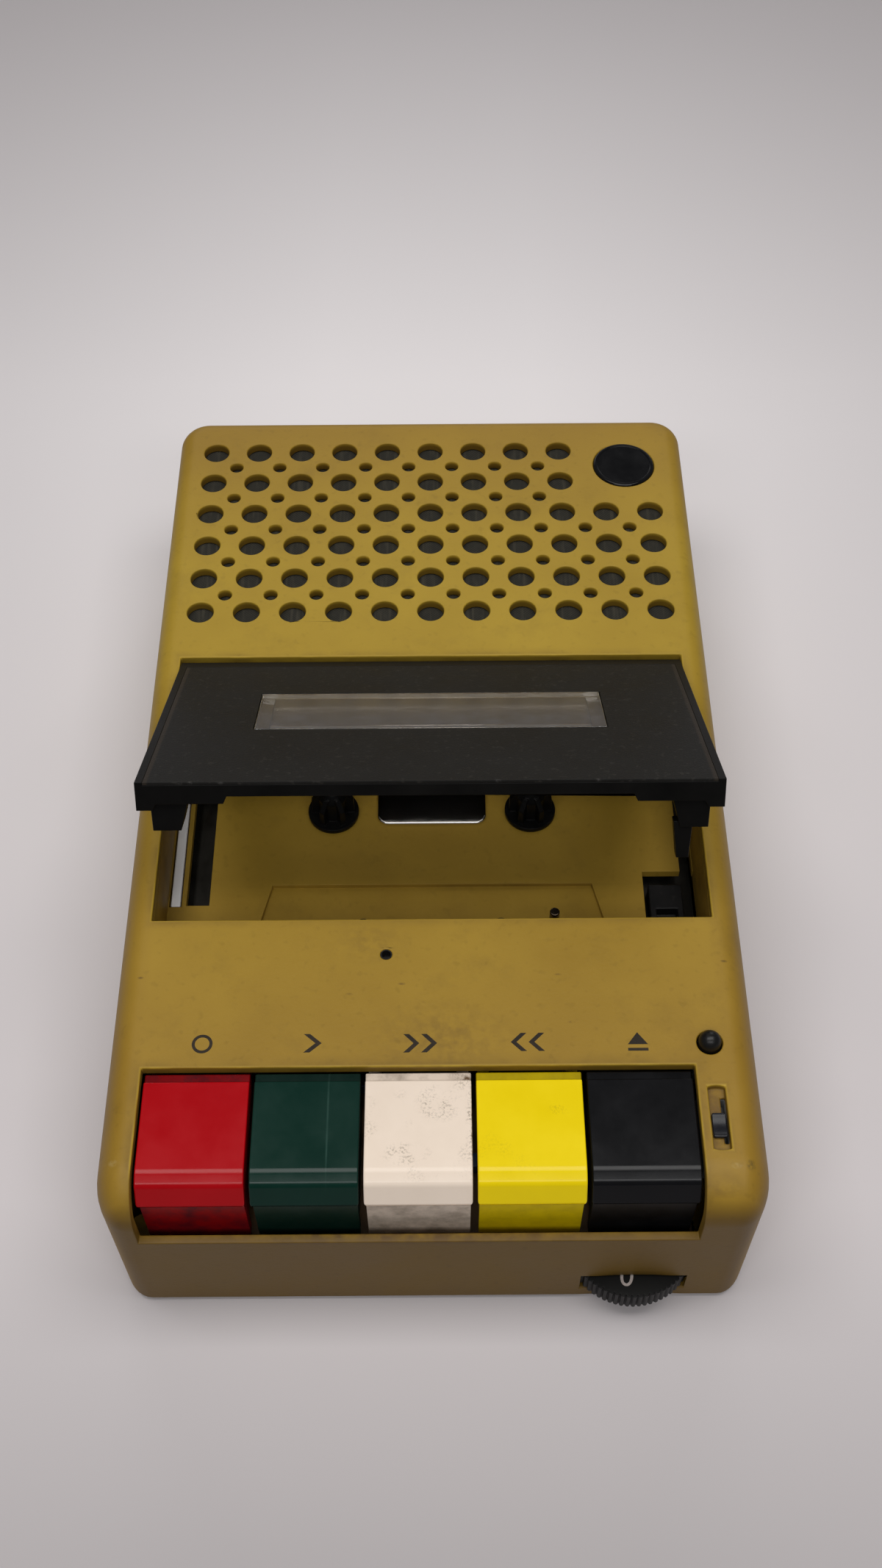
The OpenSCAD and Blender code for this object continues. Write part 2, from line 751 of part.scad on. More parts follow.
module cassette_deck() color("goldenrod") difference() {
    union() {
        slab(-opening_w / 2 - deck_wall, opening_w / 2 + deck_wall, deck_front, open_back + deck_wall, deck_under, deck_z);
        for (side = [0, 1]) mirror([side, 0, 0]) pull_y(deck_front, open_back + deck_wall) deck_side_outline();
        slab(-opening_w / 2, opening_w / 2, open_back, open_back + deck_wall, deck_under, inner_top);
        for (spot = deck_screws) post(spot[0], spot[1], chassis_top, deck_z, boss_d);
    }
    translate([0, 0, deck_z - recess_depth]) linear_extrude(recess_depth + over) deck_recess();
    for (side = [-1, 1]) post(side * hub_gap / 2, hub_y, deck_under - over, deck_z + over, 7);
    for (side = [0, 1]) mirror([side, 0, 0])
        slab(rail_x - slide_fit, rail_x + rail_w + slide_fit, rail_y0 - slide_fit, rail_y1 + slide_fit,
             deck_under - over, deck_z + over);
    post(capstan_x, capstan_y, deck_under - over, deck_z + over, capstan_d + 2.2);
    slab(side_slot_x, side_slot_x + side_slot_w, rail_y0, rail_y1 - 2, deck_under - over, deck_z + over);
    slab(latch_x0, opening_w / 2, open_front, open_front + latch_l, deck_under - over, deck_z + over);
    bar_x(-body_w / 2, body_w / 2, hinge_y, hinge_z, hinge_pin_d + 2 * slide_fit);
    for (spot = deck_screws) post(spot[0], spot[1], chassis_top - over, deck_z - 0.8, screw_d);
}

// Pins that enter the locating holes of a cassette
module cassette_pins() color("#1c1c1c") for (side = [-1, 1]) translate([side * pin_gap / 2, capstan_y, 0]) {
    post(0, 0, deck_z - recess_depth, deck_z + pin_h, pin_d);
    translate([0, 0, deck_z + pin_h]) cylinder(h = pin_tip, d1 = pin_d, d2 = pin_d - 2 * pin_tip);
}

module reflector_plate() color("silver") translate([0, hub_y - 3.3 + reflector_l / 2, deck_z])
    linear_extrude(reflector_t) rounded(reflector_w, reflector_l, 2.4);

module spindle(side) translate([side * hub_gap / 2, hub_y, 0]) {
    translate([0, 0, deck_z + slide_fit]) cylinder(h = 1.2, d = spindle_flange_d);
    translate([0, 0, deck_z + slide_fit]) cylinder(h = spindle_h - 2, d = 6);
    translate([0, 0, deck_z + slide_fit + spindle_h - 2]) cylinder(h = 2, d1 = 6, d2 = 3.2);
    for (i = [0 : 5]) rotate(60 * i) pull_y(-0.6, 0.6)
        polygon([[0, deck_z + 1], [4.5, deck_z + 1], [4.5, deck_z + spindle_h - 3], [2.6, deck_z + spindle_h - 0.6],
                 [0, deck_z + spindle_h - 0.6]]);
    post(0, 0, reel_z0, deck_z + 1, spindle_shaft_d);
}

module reel_disc(side) translate([side * hub_gap / 2, hub_y, 0]) difference() {
    union() {
        post(0, 0, reel_z0, reel_z0 + reel_t, reel_d);
        post(0, 0, reel_z0 + reel_t, chassis_under - 2 * run_fit - 1, 7);
    }
    post(0, 0, reel_z0 - over, chassis_top, spindle_shaft_d);
    translate([0, 0, reel_z0 + reel_t / 2]) rotate_extrude() translate([reel_d / 2, 0]) circle(0.8);
}

module left_spindle() color("#151515") spindle(-1);
module right_spindle() color("#151515") spindle(1);
module left_reel_disc() color("#3a3a3a") reel_disc(-1);
module right_reel_disc() color("#3a3a3a") reel_disc(1);

module spindle_bushes() color("#b08d3c") for (side = [-1, 1])
    tube(side * hub_gap / 2, hub_y, chassis_under - 1, deck_under - slide_fit, bush_d, spindle_shaft_d + 2 * run_fit);

module capstan() color("#d8d8d8") post(capstan_x, capstan_y, fly_z0 - 1.6, deck_z + capstan_h, capstan_d);

module capstan_bush() color("#b08d3c")
    tube(capstan_x, capstan_y, chassis_under - 3, deck_under - slide_fit, bush_d, capstan_d + 2 * run_fit);

module flywheel() color("#8f8f8f") translate([capstan_x, capstan_y, fly_z0]) difference() {
    union() {
        cylinder(h = fly_t, d = flywheel_d);
        cylinder(h = fly_t + fly_hub_h, d = fly_hub_d);
    }
    translate([0, 0, -over]) cylinder(h = fly_t + 6, d = capstan_d);
    translate([0, 0, fly_t / 2 - groove_w / 2]) difference() {
        cylinder(h = groove_w, d = flywheel_d + 2 * over);
        translate([0, 0, -over]) cylinder(h = groove_w + 2 * over, d = flywheel_d - 2 * groove_depth);
    }
    translate([0, 0, fly_t - 1.6]) difference() {
        cylinder(h = fly_t, d = flywheel_d - 8);
        translate([0, 0, -over]) cylinder(h = fly_t + 2 * over, d = 14);
    }
}

module motor() color("#b9b9b9") translate([motor_x, motor_y, 0]) {
    post(0, 0, motor_z0, chassis_under, motor_d);
    post(0, 0, belt_z - groove_w / 2 - 0.8, motor_z0, 2);
}

module motor_pulley() color("#b08d3c") translate([motor_x, motor_y, 0]) difference() {
    post(0, 0, belt_z - groove_w / 2 - 1, belt_z + groove_w / 2 + 0.3, pulley_d + 2.4);
    post(0, 0, belt_z - 2 * groove_w, belt_z + 2 * groove_w, 2 + 2 * run_fit);
    translate([0, 0, belt_z - groove_w / 2 + 0.3]) difference() {
        cylinder(h = groove_w - 0.6, d = pulley_d + 4);
        translate([0, 0, -over]) cylinder(h = groove_w + 2 * over, d = pulley_d);
    }
}

module belt_loop(grow) hull() {
    translate([motor_x, motor_y]) circle(d = pulley_d + 2 * grow);
    translate([capstan_x, capstan_y]) circle(d = flywheel_d - 2 * groove_depth + 2 * grow);
}

module drive_belt() color("#1c1c1c") translate([0, 0, belt_z - 0.7]) linear_extrude(1.4) difference() {
    belt_loop(belt_t + 0.1);
    belt_loop(0.1);
}

module chassis_plate() color("#a9a9a2") difference() {
    union() {
        slab(-opening_w / 2, opening_w / 2, shaft_y - 4, open_back + 10, chassis_under, chassis_top);
        for (x = [key_left - ear_t - 0.4, key_right + 0.4]) {
            slab(x, x + ear_t, shaft_y - 3.5, shaft_y + 3.5, chassis_under, shaft_z);
            bar_x(x, x + ear_t, shaft_y, shaft_z, 7);
        }
    }
    bar_x(-body_w / 2, body_w / 2, shaft_y, shaft_z, key_shaft_d);
    for (side = [-1, 1]) post(side * hub_gap / 2, hub_y, chassis_under - over, chassis_top + over, bush_d);
    post(capstan_x, capstan_y, chassis_under - over, chassis_top + over, bush_d);
    for (spot = deck_screws) post(spot[0], spot[1], chassis_under - over, chassis_top + over, screw_d + 0.4);
    slab(-chassis_hole_half, chassis_hole_half, open_front + chassis_hole_front, hub_y + chassis_hole_back,
         chassis_under - over, chassis_top + over);
}

module chassis_screws() color("silver") for (spot = deck_screws) {
    post(spot[0], spot[1], chassis_under - 1.4, chassis_under, screw_head_d);
    post(spot[0], spot[1], chassis_under, deck_z - 1.2, screw_d);
}

// Heads

module head_carriage() color("#b5b5ad") difference() {
    union() {
        slab(-carriage_left, carriage_right, deck_front + carriage_gap, carriage_back, carriage_z, carriage_top);
        slab(-carriage_left, carriage_t - carriage_left, deck_front + carriage_gap, carriage_back, carriage_z,
             carriage_top + carriage_lip);
    }
    for (x = guide_spots) slab(x - guide_w / 2, x + guide_w / 2, deck_front + guide_front,
                               deck_front + guide_front + guide_l, carriage_z - over, carriage_top + over);
    post(capstan_x, pinch_y, carriage_z - over, carriage_top + over, pinch_axle_d);
}

// A magnetic head: a metal can with a rounded nose towards the tape
module tape_head(w, l) {
    translate([-w / 2, -l, 0]) cube([w, l - head_nose, head_h]);
    intersection() {
        translate([-w / 2, -l, 0]) cube([w, l, head_h]);
        translate([0, -w * 0.72, 0]) cylinder(h = head_h, r = w * 0.72);
    }
}

module play_head() color("#c9c9c4") translate([0, carriage_back, carriage_top]) tape_head(play_head_w, play_head_l);

module erase_head() color("#6d6d6d") translate([erase_head_x, carriage_back, carriage_top])
    tape_head(erase_head_w, erase_head_l);

module pinch_axle() color("silver") post(capstan_x, pinch_y, carriage_z, pinch_axle_top, pinch_axle_d);

module pinch_roller() color("#242424")
    tube(capstan_x, pinch_y, carriage_top + slide_fit, pinch_top, pinch_d, pinch_axle_d + 2 * run_fit);

// Keys: a shell with a round shouldered nose, a lip and a deep set-back face, on two arms

// A key from the side, with the nose's two edges rounded
module key_outline() {
    back = key_back - key_room;
    step = back - key_step_l;
    flat = [step, key_top];
    shoulder = [nose_tip + shoulder_in, key_top];
    brow = [nose_tip + brow_in, key_top - brow_drop];
    tip = [nose_tip, key_top - lip_drop + lip_h];
    polygon([[back, key_top - key_side_h], [back, key_top - key_step_h], [step, key_top - key_step_h], flat,
             round_end(shoulder, flat, brow, shoulder_r), round_end(shoulder, brow, flat, shoulder_r),
             round_end(brow, shoulder, tip, brow_r), round_end(brow, tip, shoulder, brow_r), tip,
             [nose_tip + lip_h / 2, key_top - lip_drop], [face_y, key_top - lip_drop], [face_y, face_low],
             [face_y + key_t, face_low], [face_y + key_t, key_top - key_side_h]]);
    translate(round_mid(shoulder, flat, brow, shoulder_r)) circle(shoulder_r);
    translate(round_mid(brow, shoulder, tip, brow_r)) circle(brow_r);
}

// A key from the front: full width down to the lip's round corners, and a little narrower below
module key_front() {
    lip_z = key_top - lip_drop;
    translate([-key_w / 2, lip_z + lip_r]) square([key_w, key_top]);
    translate([lip_r - key_w / 2, lip_z]) square([key_w - 2 * lip_r, key_top]);
    for (side = [-1, 1]) translate([side * (key_w / 2 - lip_r), lip_z + lip_r]) circle(lip_r);
    translate([face_side - key_w / 2, 0]) square([key_w - 2 * face_side, key_top]);
}

module key_hollow() {
    inner = face_y + key_t;
    back = key_back - key_room - key_t;
    polygon([[back, key_top - key_step_h - key_t], [nose_tip + shoulder_in, key_top - key_t],
             [inner, key_top - 2 * key_t], [inner, face_low - over], [back, face_low - over]]);
}

module arm_outline() {
    polygon([[key_back - 3, key_top - 2.4], [key_back - 0.6, shaft_z + arm_r], [shaft_y, shaft_z + arm_r],
             [shaft_y, shaft_z - arm_r], [key_back - 3, shaft_z - arm_r]]);
    translate([shaft_y, shaft_z]) circle(arm_r);
}

module key(i) translate([key_left + 0.1 + (i + 0.5) * key_pitch, 0, 0]) difference() {
    union() {
        difference() {
            intersection() {
                pull_x(-key_w, key_w) key_outline();
                pull_y(front_y, key_back) key_front();
            }
            pull_x(-key_w / 2 + key_t, key_w / 2 - key_t) key_hollow();
            slab(-key_w, key_w, key_back - key_room - key_t, key_back, face_low, shaft_z - arm_r);
        }
        for (side = [0, 1]) mirror([side, 0, 0]) pull_x(key_w / 2 - 2.6, key_w / 2 - 0.4) arm_outline();
    }
    bar_x(-key_w, key_w, shaft_y, shaft_z, key_shaft_d + 2 * run_fit);
}

module key_record() color("#b3202a") key(0);
module key_play() color("#1d3a2c") key(1);
module key_forward() color("#e8dfc4") key(2);
module key_rewind() color("#d9a514") key(3);
module key_eject() color("#12141c") key(4);

module key_shaft() color("silver")
    bar_x(key_left - ear_t - 2, key_right + ear_t + 2, shaft_y, shaft_z, key_shaft_d);

module key_springs() color("#8d8d8d") for (i = [0 : key_count - 1])
    translate([key_left + 0.1 + (i + 0.5) * key_pitch, 0, 0]) difference() {
        bar_x(-key_w / 2 + 4, key_w / 2 - 4, shaft_y, shaft_z, key_shaft_d + 1.4);
        bar_x(-key_w, key_w, shaft_y, shaft_z, key_shaft_d);
    }

// Controls

module slide_knob() color("#20242c") {
    knob_top = top_z - knob_drop;
    dish_l = knob_l / 2 - 0.4;
    dish = (dish_l * dish_l + knob_dish * knob_dish) / (2 * knob_dish);
    difference() {
        translate([strip_x, knob_mid, top_z - slot_depth + 0.1]) linear_extrude(slot_depth - knob_drop - 0.1)
            rounded(slot_w - 2 * slide_fit, knob_l, 0.4);
        bar_x(strip_x - slot_w, strip_x + slot_w, knob_mid, knob_top + dish - knob_dish, 2 * dish);
    }
    slab(strip_x + slot_w / 2 - slide_fit - stem_w, strip_x + slot_w / 2 - slide_fit, knob_mid - stem_l / 2,
         knob_mid + stem_l / 2, inner_top - 2.4, top_z - slot_depth + 0.4);
}

module slide_switch() color("#777777") difference() {
    slab(strip_x - switch_w / 2, strip_x + switch_w / 2, knob_mid - switch_front, knob_mid + switch_back,
         inner_top - switch_h, inner_top);
    knob_slit(inner_top - 3, inner_top + over);
}

module push_button() color("#161616") translate([button_x, button_y, 0]) {
    post(0, 0, inner_top - 1.4, top_z + button_proud - button_d / 2, button_d);
    intersection() {
        translate([0, 0, top_z + button_proud - button_d / 2]) sphere(d = button_d);
        post(0, 0, top_z + button_proud - button_d / 2, top_z + 2 * button_proud, button_d);
    }
    post(0, 0, inner_top - 1.4, inner_top - 0.1, button_d + 2);
    post(0, 0, inner_top - 1.4 - button_travel - 2, inner_top - 1.4, 2);
}

module button_switch() color("#777777") difference() {
    slab(button_x - 2.6, button_x + 2.6, button_y - 2.6, button_y + 2.4,
         inner_top - 8, inner_top - 1.4 - button_travel - 0.2);
    post(button_x, button_y, inner_top - 7, inner_top, 2 + 2 * slide_fit);
}

module volume_wheel() color("#1a1a1a") translate([wheel_x, wheel_y, 0]) {
    rib = 180 / wheel_ribs;
    translate([0, 0, wheel_z]) linear_extrude(wheel_t)
        polygon([for (i = [0 : wheel_ribs - 1], side = [[-0.5, 0.45], [-0.22, 0], [0.22, 0], [0.5, 0.45]])
            let (a = 2 * rib * (i + side[0]), r = wheel_d / 2 - side[1]) [r * sin(a), -r * cos(a)]]);
    post(0, 0, wheel_z + wheel_t, board_z - 0.6, wheel_shaft_d);
}

module volume_pot() color("#6a6a60")
    tube(wheel_x, wheel_y, wheel_z + wheel_t + slide_fit, board_z, pot_d, wheel_shaft_d + 2 * run_fit);

// Speaker

module speaker_frame() color("#55575a") translate([0, grille_mid_y, inner_top - cloth_t]) rotate_extrude() {
    r = speaker_d / 2;
    low = -basket_depth;
    polygon([[r, 0], [r, -basket_t], [r - rim_out, -basket_t], [basket_r, low], [coil_r, low],
             [coil_r, low + basket_t], [basket_r - basket_lean, low + basket_t], [r - rim_w, -basket_t], [r - rim_w, 0]]);
}

module speaker_magnet() color("#3b3b3b") translate([0, grille_mid_y, inner_top - cloth_t - basket_depth]) {
    translate([0, 0, -magnet_h]) cylinder(h = magnet_h, d = magnet_d);
    cylinder(h = pole_h, d = pole_d);
}

module speaker_cone() color("#2b2723") translate([0, grille_mid_y, inner_top - cloth_t - basket_t])
    rotate_extrude() {
    r = speaker_d / 2 - cone_edge;
    low = -cone_depth - cone_t - 0.2;
    polygon([[0, -dome_depth], [dome_r, -dome_depth - cone_t], [coil_r, -cone_depth], [r - cone_roll, -cone_t], [r, 0],
             [r, -cone_t], [r - cone_roll, -2 * cone_t], [coil_r, low], [0, low]]);
}

module grille_cloth() color("#33332f")
    slab(-grille_half_w - cloth_over_x, grille_half_w + cloth_over_x, grille_mid_y - cloth_half_l,
         grille_mid_y + cloth_half_l, inner_top - cloth_t, inner_top);

// Electrics

module circuit_board() color("#7a5a2c") difference() {
    slab(board_left, board_right, board_front, board_back, board_z, board_z + board_t);
    post(wheel_x, wheel_y, board_z - over, board_z + board_t + over, wheel_shaft_d + 2 * slide_fit);
}

module board_parts() color("#3f5f8a") {
    top = board_z + board_t;
    for (i = [0 : 5]) post(board_left + can_edge + can_pitch * i, board_back - can_d, top, top + can_h, can_d);
    for (i = [0 : 4]) translate([board_left + chip_edge + chip_pitch * i, board_front + chip_front, top])
        cube([chip_l, chip_w, chip_h]);
}

module battery_cells() color("#c9c3b0") for (side = [-1, 1], row = [0 : cell_rows - 1]) {
    y = box_y0 + cell_side + cell_pitch * (row + 0.5);
    dir = row % 2 == 0 ? 1 : -1;
    x0 = side * (cell_l / 2 + cell_mid) - cell_l / 2;
    bar_x(x0, x0 + cell_l, y, cell_z, cell_d);
    bar_x(dir > 0 ? x0 + cell_l : x0 - nub_l, dir > 0 ? x0 + cell_l + nub_l : x0, y, cell_z, nub_d);
}

module battery_contacts() color("#c7c7c7") for (side = [-1, 1], row = [0 : cell_rows - 1]) {
    y = box_y0 + cell_side + cell_pitch * (row + 0.5);
    translate([side * box_half - (side > 0 ? contact_t : 0), y - contact_w / 2, cell_z - contact_w / 2])
        cube([contact_t, contact_w, contact_w]);
}

module din_socket() color("#1d1d1d") translate([din_x, back_y, socket_z]) rotate([90, 0, 0]) difference() {
    union() {
        cylinder(h = socket_l + 1.6, d = din_collar_d);
        translate([0, 0, wall]) cylinder(h = socket_l + 1.6 - wall, d = din_collar_d + 4);
    }
    translate([0, 0, -over]) cylinder(h = socket_l + over, d = din_bore_d);
    for (i = [-2 : 2]) rotate(45 * i) translate([0, 5, socket_l - over]) cylinder(h = 4, d = 1.6);
}

module power_socket() color("#1d1d1d") translate([power_x, back_y, socket_z]) rotate([90, 0, 0]) difference() {
    union() {
        cylinder(h = socket_l + 1.6, d = power_collar_d);
        translate([0, 0, wall]) cylinder(h = socket_l + 1.6 - wall, d = power_collar_d + 3);
    }
    translate([0, 0, -over]) cylinder(h = socket_l + over, d = power_bore_d);
}

upper_case();
bottom_cover();
battery_door();
rubber_feet();
case_screws();
round_badge();
lid_frame();
lid_plate();
lid_window();
lid_hinge_pin();
lid_springs();
lid_rail();
lid_catch();
cassette_deck();
cassette_pins();
reflector_plate();
left_spindle();
right_spindle();
left_reel_disc();
right_reel_disc();
spindle_bushes();
capstan();
capstan_bush();
flywheel();
motor();
motor_pulley();
drive_belt();
chassis_plate();
chassis_screws();
head_carriage();
play_head();
erase_head();
pinch_axle();
pinch_roller();
key_record();
key_play();
key_forward();
key_rewind();
key_eject();
key_shaft();
key_springs();
slide_knob();
slide_switch();
push_button();
button_switch();
volume_wheel();
volume_pot();
speaker_frame();
speaker_magnet();
speaker_cone();
grille_cloth();
circuit_board();
board_parts();
battery_cells();
battery_contacts();
din_socket();
power_socket();
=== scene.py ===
import json
import math
import bmesh
import bpy
from mathutils import Matrix, Vector


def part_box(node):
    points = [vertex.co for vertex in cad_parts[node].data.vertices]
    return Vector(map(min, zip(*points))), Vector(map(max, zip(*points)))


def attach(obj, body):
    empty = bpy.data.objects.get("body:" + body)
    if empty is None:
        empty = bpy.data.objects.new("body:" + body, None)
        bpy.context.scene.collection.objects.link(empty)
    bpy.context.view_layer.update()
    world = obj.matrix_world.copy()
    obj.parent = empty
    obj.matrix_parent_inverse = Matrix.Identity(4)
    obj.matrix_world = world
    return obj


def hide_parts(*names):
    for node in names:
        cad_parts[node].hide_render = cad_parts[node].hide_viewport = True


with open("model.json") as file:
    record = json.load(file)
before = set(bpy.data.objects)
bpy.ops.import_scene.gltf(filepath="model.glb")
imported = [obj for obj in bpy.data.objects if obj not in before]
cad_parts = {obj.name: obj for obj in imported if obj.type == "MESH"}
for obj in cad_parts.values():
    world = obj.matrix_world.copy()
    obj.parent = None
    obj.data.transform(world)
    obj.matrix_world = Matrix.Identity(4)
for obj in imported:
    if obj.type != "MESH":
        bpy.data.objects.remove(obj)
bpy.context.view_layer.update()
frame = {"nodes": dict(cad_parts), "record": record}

# View and light
# The camera looks down on the front of the recorder, which stands on a pale matt sheet. A narrow lamp above
# and a strip high in front light it and draw the thin lines of gloss on the keys. A wide lamp behind is weak.
mm = 0.001
scene = bpy.context.scene
scene.view_settings.view_transform = "Standard"
eye_lens = bpy.data.cameras.new("eye")
eye_lens.sensor_width = 36
eye_lens.lens = 38.68
eye = bpy.data.objects.new("eye", eye_lens)
eye_right = (0.99997, -0.00644, -0.0034)
eye_up = (0.0072, 0.8064, 0.5913)
eye_back = (-0.00107, -0.59134, 0.80642)
eye_place = (0.00164, -0.2159, 0.3283)
eye_rows = [[eye_right[i], eye_up[i], eye_back[i], eye_place[i]] for i in range(3)]
eye.matrix_world = Matrix(eye_rows + [[0, 0, 0, 1]])
scene.collection.objects.link(eye)
scene.camera = eye


def soft_panel(name, place, aim, width, length, watts, tint):
    lamp = bpy.data.lights.new(name, "AREA")
    lamp.shape = "RECTANGLE"
    lamp.size = width
    lamp.size_y = length
    lamp.energy = watts
    lamp.color = tint
    panel = bpy.data.objects.new(name, lamp)
    panel.location = place
    panel.rotation_euler = (Vector(aim) - Vector(place)).to_track_quat("-Z", "Y").to_euler()
    scene.collection.objects.link(panel)


soft_panel("lamp_over", (0, -0.03, 0.8), (0, -0.03, 0), 0.9, 0.36, 4.6, (1, 0.985, 0.965))
soft_panel("lamp_back", (0, 1.3, 0.72), (0, 0, 0.02), 1.4, 0.5, 4.5, (1, 0.99, 0.975))
soft_panel("strip_front", (0, -0.5, 0.66), (0, -0.06, 0.03), 0.8, 0.16, 1.9, (1, 1, 1))

world = bpy.data.worlds.new("room")
world.use_nodes = True
world.node_tree.nodes["Background"].inputs["Color"].default_value = (0.95, 0.97, 1, 1)
world.node_tree.nodes["Background"].inputs["Strength"].default_value = 0.12
scene.world = world


def add_node(tree, kind, settings, inputs):
    node = tree.nodes.new("ShaderNode" + kind)
    for name, value in settings.items():
        setattr(node, name, value)
    for name, value in inputs.items():
        if isinstance(value, bpy.types.NodeSocket):
            tree.links.new(value, node.inputs[name])
        else:
            node.inputs[name].default_value = value
    return node.outputs


def math_node(tree, operation, first, second=0.0, clamp=False):
    return add_node(tree, "Math", {"operation": operation, "use_clamp": clamp}, {0: first, 1: second})[0]


def mix_colour(tree, mask, first, second):
    def four(c):
        return c if isinstance(c, bpy.types.NodeSocket) else (*c, 1)
    return add_node(tree, "Mix", {"data_type": "RGBA"}, {0: mask, 6: four(first), 7: four(second)})[2]


def shade(tree, mask, first, second):
    settings = {"data_type": "RGBA", "blend_type": "MULTIPLY"}
    return add_node(tree, "Mix", settings, {0: mask, 6: first, 7: (*second, 1)})[2]


def spread(tree, value, low, high, new_low, new_high):
    return add_node(tree, "MapRange", {}, {0: value, 1: low, 2: high, 3: new_low, 4: new_high})[0]


def noise(tree, place, scale, detail, roughness=0.5):
    inputs = {"Vector": place, "Scale": scale, "Detail": detail, "Roughness": roughness}
    return add_node(tree, "TexNoise", {}, inputs)["Fac"]


def new_finish(name, **values):
    finish = bpy.data.materials.new(name)
    finish.use_nodes = True
    tree = finish.node_tree
    surface = tree.nodes["Principled BSDF"]
    for socket, value in values.items():
        surface.inputs[socket.replace("_", " ")].default_value = value
    place = add_node(tree, "TexCoord", {}, {})["Object"]
    return finish, tree, surface, place


# The sheet's colour is painted light and shade: shadowed in front of the recorder, lit brightest behind it,
# and shaded to the sides and far off, where it falls nearly dark.
floor_size = 8
floor_front_shadowed = (0.44, 0.413, 0.418)
floor_middle_lit = (0.64, 0.60, 0.613)
floor_behind_lit = (0.80, 0.765, 0.775)
floor_far_shaded = (0.53, 0.50, 0.51)
floor_end_shaded = (0.10, 0.095, 0.095)
floor_side_shaded = (0.45, 0.42, 0.43)
bpy.ops.object.select_all(action="DESELECT")
bpy.ops.mesh.primitive_plane_add(size=floor_size, location=(0, 0, 0))
floor = bpy.context.object
floor.name = "floor"
sheet, tree, surface, place = new_finish("pale_sheet", Roughness=0.75, Specular_IOR_Level=0.2)
fibre = noise(tree, place, 6, 3)
split = add_node(tree, "SeparateXYZ", {}, {0: place})
depth = split["Y"]
tone = mix_colour(tree, spread(tree, depth, -0.155, -0.08, 0, 1), floor_front_shadowed, floor_middle_lit)
tone = mix_colour(tree, spread(tree, depth, -0.06, 0.15, 0, 1), tone, floor_behind_lit)
tone = mix_colour(tree, spread(tree, depth, 0.17, 0.38, 0, 1), tone, floor_far_shaded)
aside = math_node(tree, "ABSOLUTE", split["X"])
tone = mix_colour(tree, spread(tree, aside, 0.03, 0.17, 0, 0.5), tone, floor_side_shaded)
tone = mix_colour(tree, spread(tree, depth, 0.42, 0.7, 0, 1), tone, floor_end_shaded)
tone = mix_colour(tree, spread(tree, fibre, 0.3, 0.7, 0, 0.04), tone, (0.4, 0.38, 0.38))
tree.links.new(tone, surface.inputs["Base Color"])
floor.data.materials.append(sheet)

# Bottom cover and battery door
# The underside of the recorder: a moulded plastic cover with the battery box on it, and the ribbed door
# that drops out of it. Both are the same mustard plastic as the case, held by screws and by the door's fit.
body_of_node = {n: b for b, nodes in frame["record"]["behaviour"]["bodies"].items() for n in nodes}
flat_angle = math.radians(0.6)


def merged_copy(node, merge=0.002):
    # A copy of the CAD node with its loose triangles joined and its flat faces whole again. merge is in mm.
    source = frame["nodes"][node]
    bpy.ops.object.select_all(action="DESELECT")
    piece = bpy.data.objects.new(node + "_piece", source.data.copy())
    scene.collection.objects.link(piece)
    bpy.context.view_layer.objects.active = piece
    piece.select_set(True)
    bpy.ops.mesh.customdata_custom_splitnormals_clear()
    bpy.ops.object.mode_set(mode="EDIT")
    bpy.ops.mesh.select_all(action="SELECT")
    bpy.ops.mesh.remove_doubles(threshold=merge * mm)
    bpy.ops.mesh.dissolve_limited(angle_limit=flat_angle)
    bpy.ops.object.mode_set(mode="OBJECT")
    return piece


def finish_piece(piece, body, finish, smooth=50):
    # Smooth shading up to an angle, the material, and the body that the piece belongs to
    bpy.ops.object.select_all(action="DESELECT")
    bpy.context.view_layer.objects.active = piece
    piece.select_set(True)
    bpy.ops.object.shade_smooth_by_angle(angle=math.radians(smooth))
    flats = piece.modifiers.new("flats", "WEIGHTED_NORMAL")
    flats.keep_sharp = True
    bpy.ops.object.modifier_apply(modifier=flats.name)
    piece.data.materials.clear()
    piece.data.materials.append(finish)
    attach(piece, body)


def eased(node, ease, finish, steps=2, merge=0.002, clamp=True):
    # The node with its edges rounded by ease, in mm
    piece = merged_copy(node, merge)
    if ease:
        rounding = piece.modifiers.new("rounding", "BEVEL")
        rounding.width = ease * mm
        rounding.segments = steps
        rounding.limit_method = "ANGLE"
        rounding.angle_limit = math.radians(30)
        rounding.use_clamp_overlap = clamp
        bpy.ops.object.modifier_apply(modifier=rounding.name)
    finish_piece(piece, body_of_node[node], finish)
    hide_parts(node)


def new_group(name, inputs, outputs):
    group = bpy.data.node_groups.new(name, "ShaderNodeTree")
    for socket, kind in inputs:
        group.interface.new_socket(socket, in_out="INPUT", socket_type="NodeSocket" + kind)
    for socket in outputs:
        group.interface.new_socket(socket, in_out="OUTPUT", socket_type="NodeSocketFloat")
    return group, group.nodes.new("NodeGroupInput").outputs, group.nodes.new("NodeGroupOutput").inputs


def use_group(tree, group, **inputs):
    node = tree.nodes.new("ShaderNodeGroup")
    node.node_tree = group
    for name, value in inputs.items():
        if isinstance(value, bpy.types.NodeSocket):
            tree.links.new(value, node.inputs[name])
        else:
            node.inputs[name].default_value = value
    return node.outputs


# Moulded grain: a fine skin for the bump, a slow change of tone, and specks
grain_inputs = [("Place", "Vector"), ("Grain", "Float"), ("Blotch", "Float")]
grain_group, given, result = new_group("moulded_grain", grain_inputs, ["Height", "Tone", "Speck"])
skin = noise(grain_group, given["Place"], given["Grain"], 2)
slow = noise(grain_group, given["Place"], given["Blotch"], 5, 0.62)
coarse = math_node(grain_group, "MULTIPLY", given["Grain"], 0.37)
dots = noise(grain_group, given["Place"], coarse, 1)
grain_group.links.new(skin, result["Height"])
grain_group.links.new(spread(grain_group, slow, 0.3, 0.7, 0, 1), result["Tone"])
grain_group.links.new(spread(grain_group, dots, 0.62, 0.75, 0, 1), result["Speck"])


def vector_node(tree, operation, first, second=(0, 0, 0)):
    return add_node(tree, "VectorMath", {"operation": operation}, {0: first, 1: second})


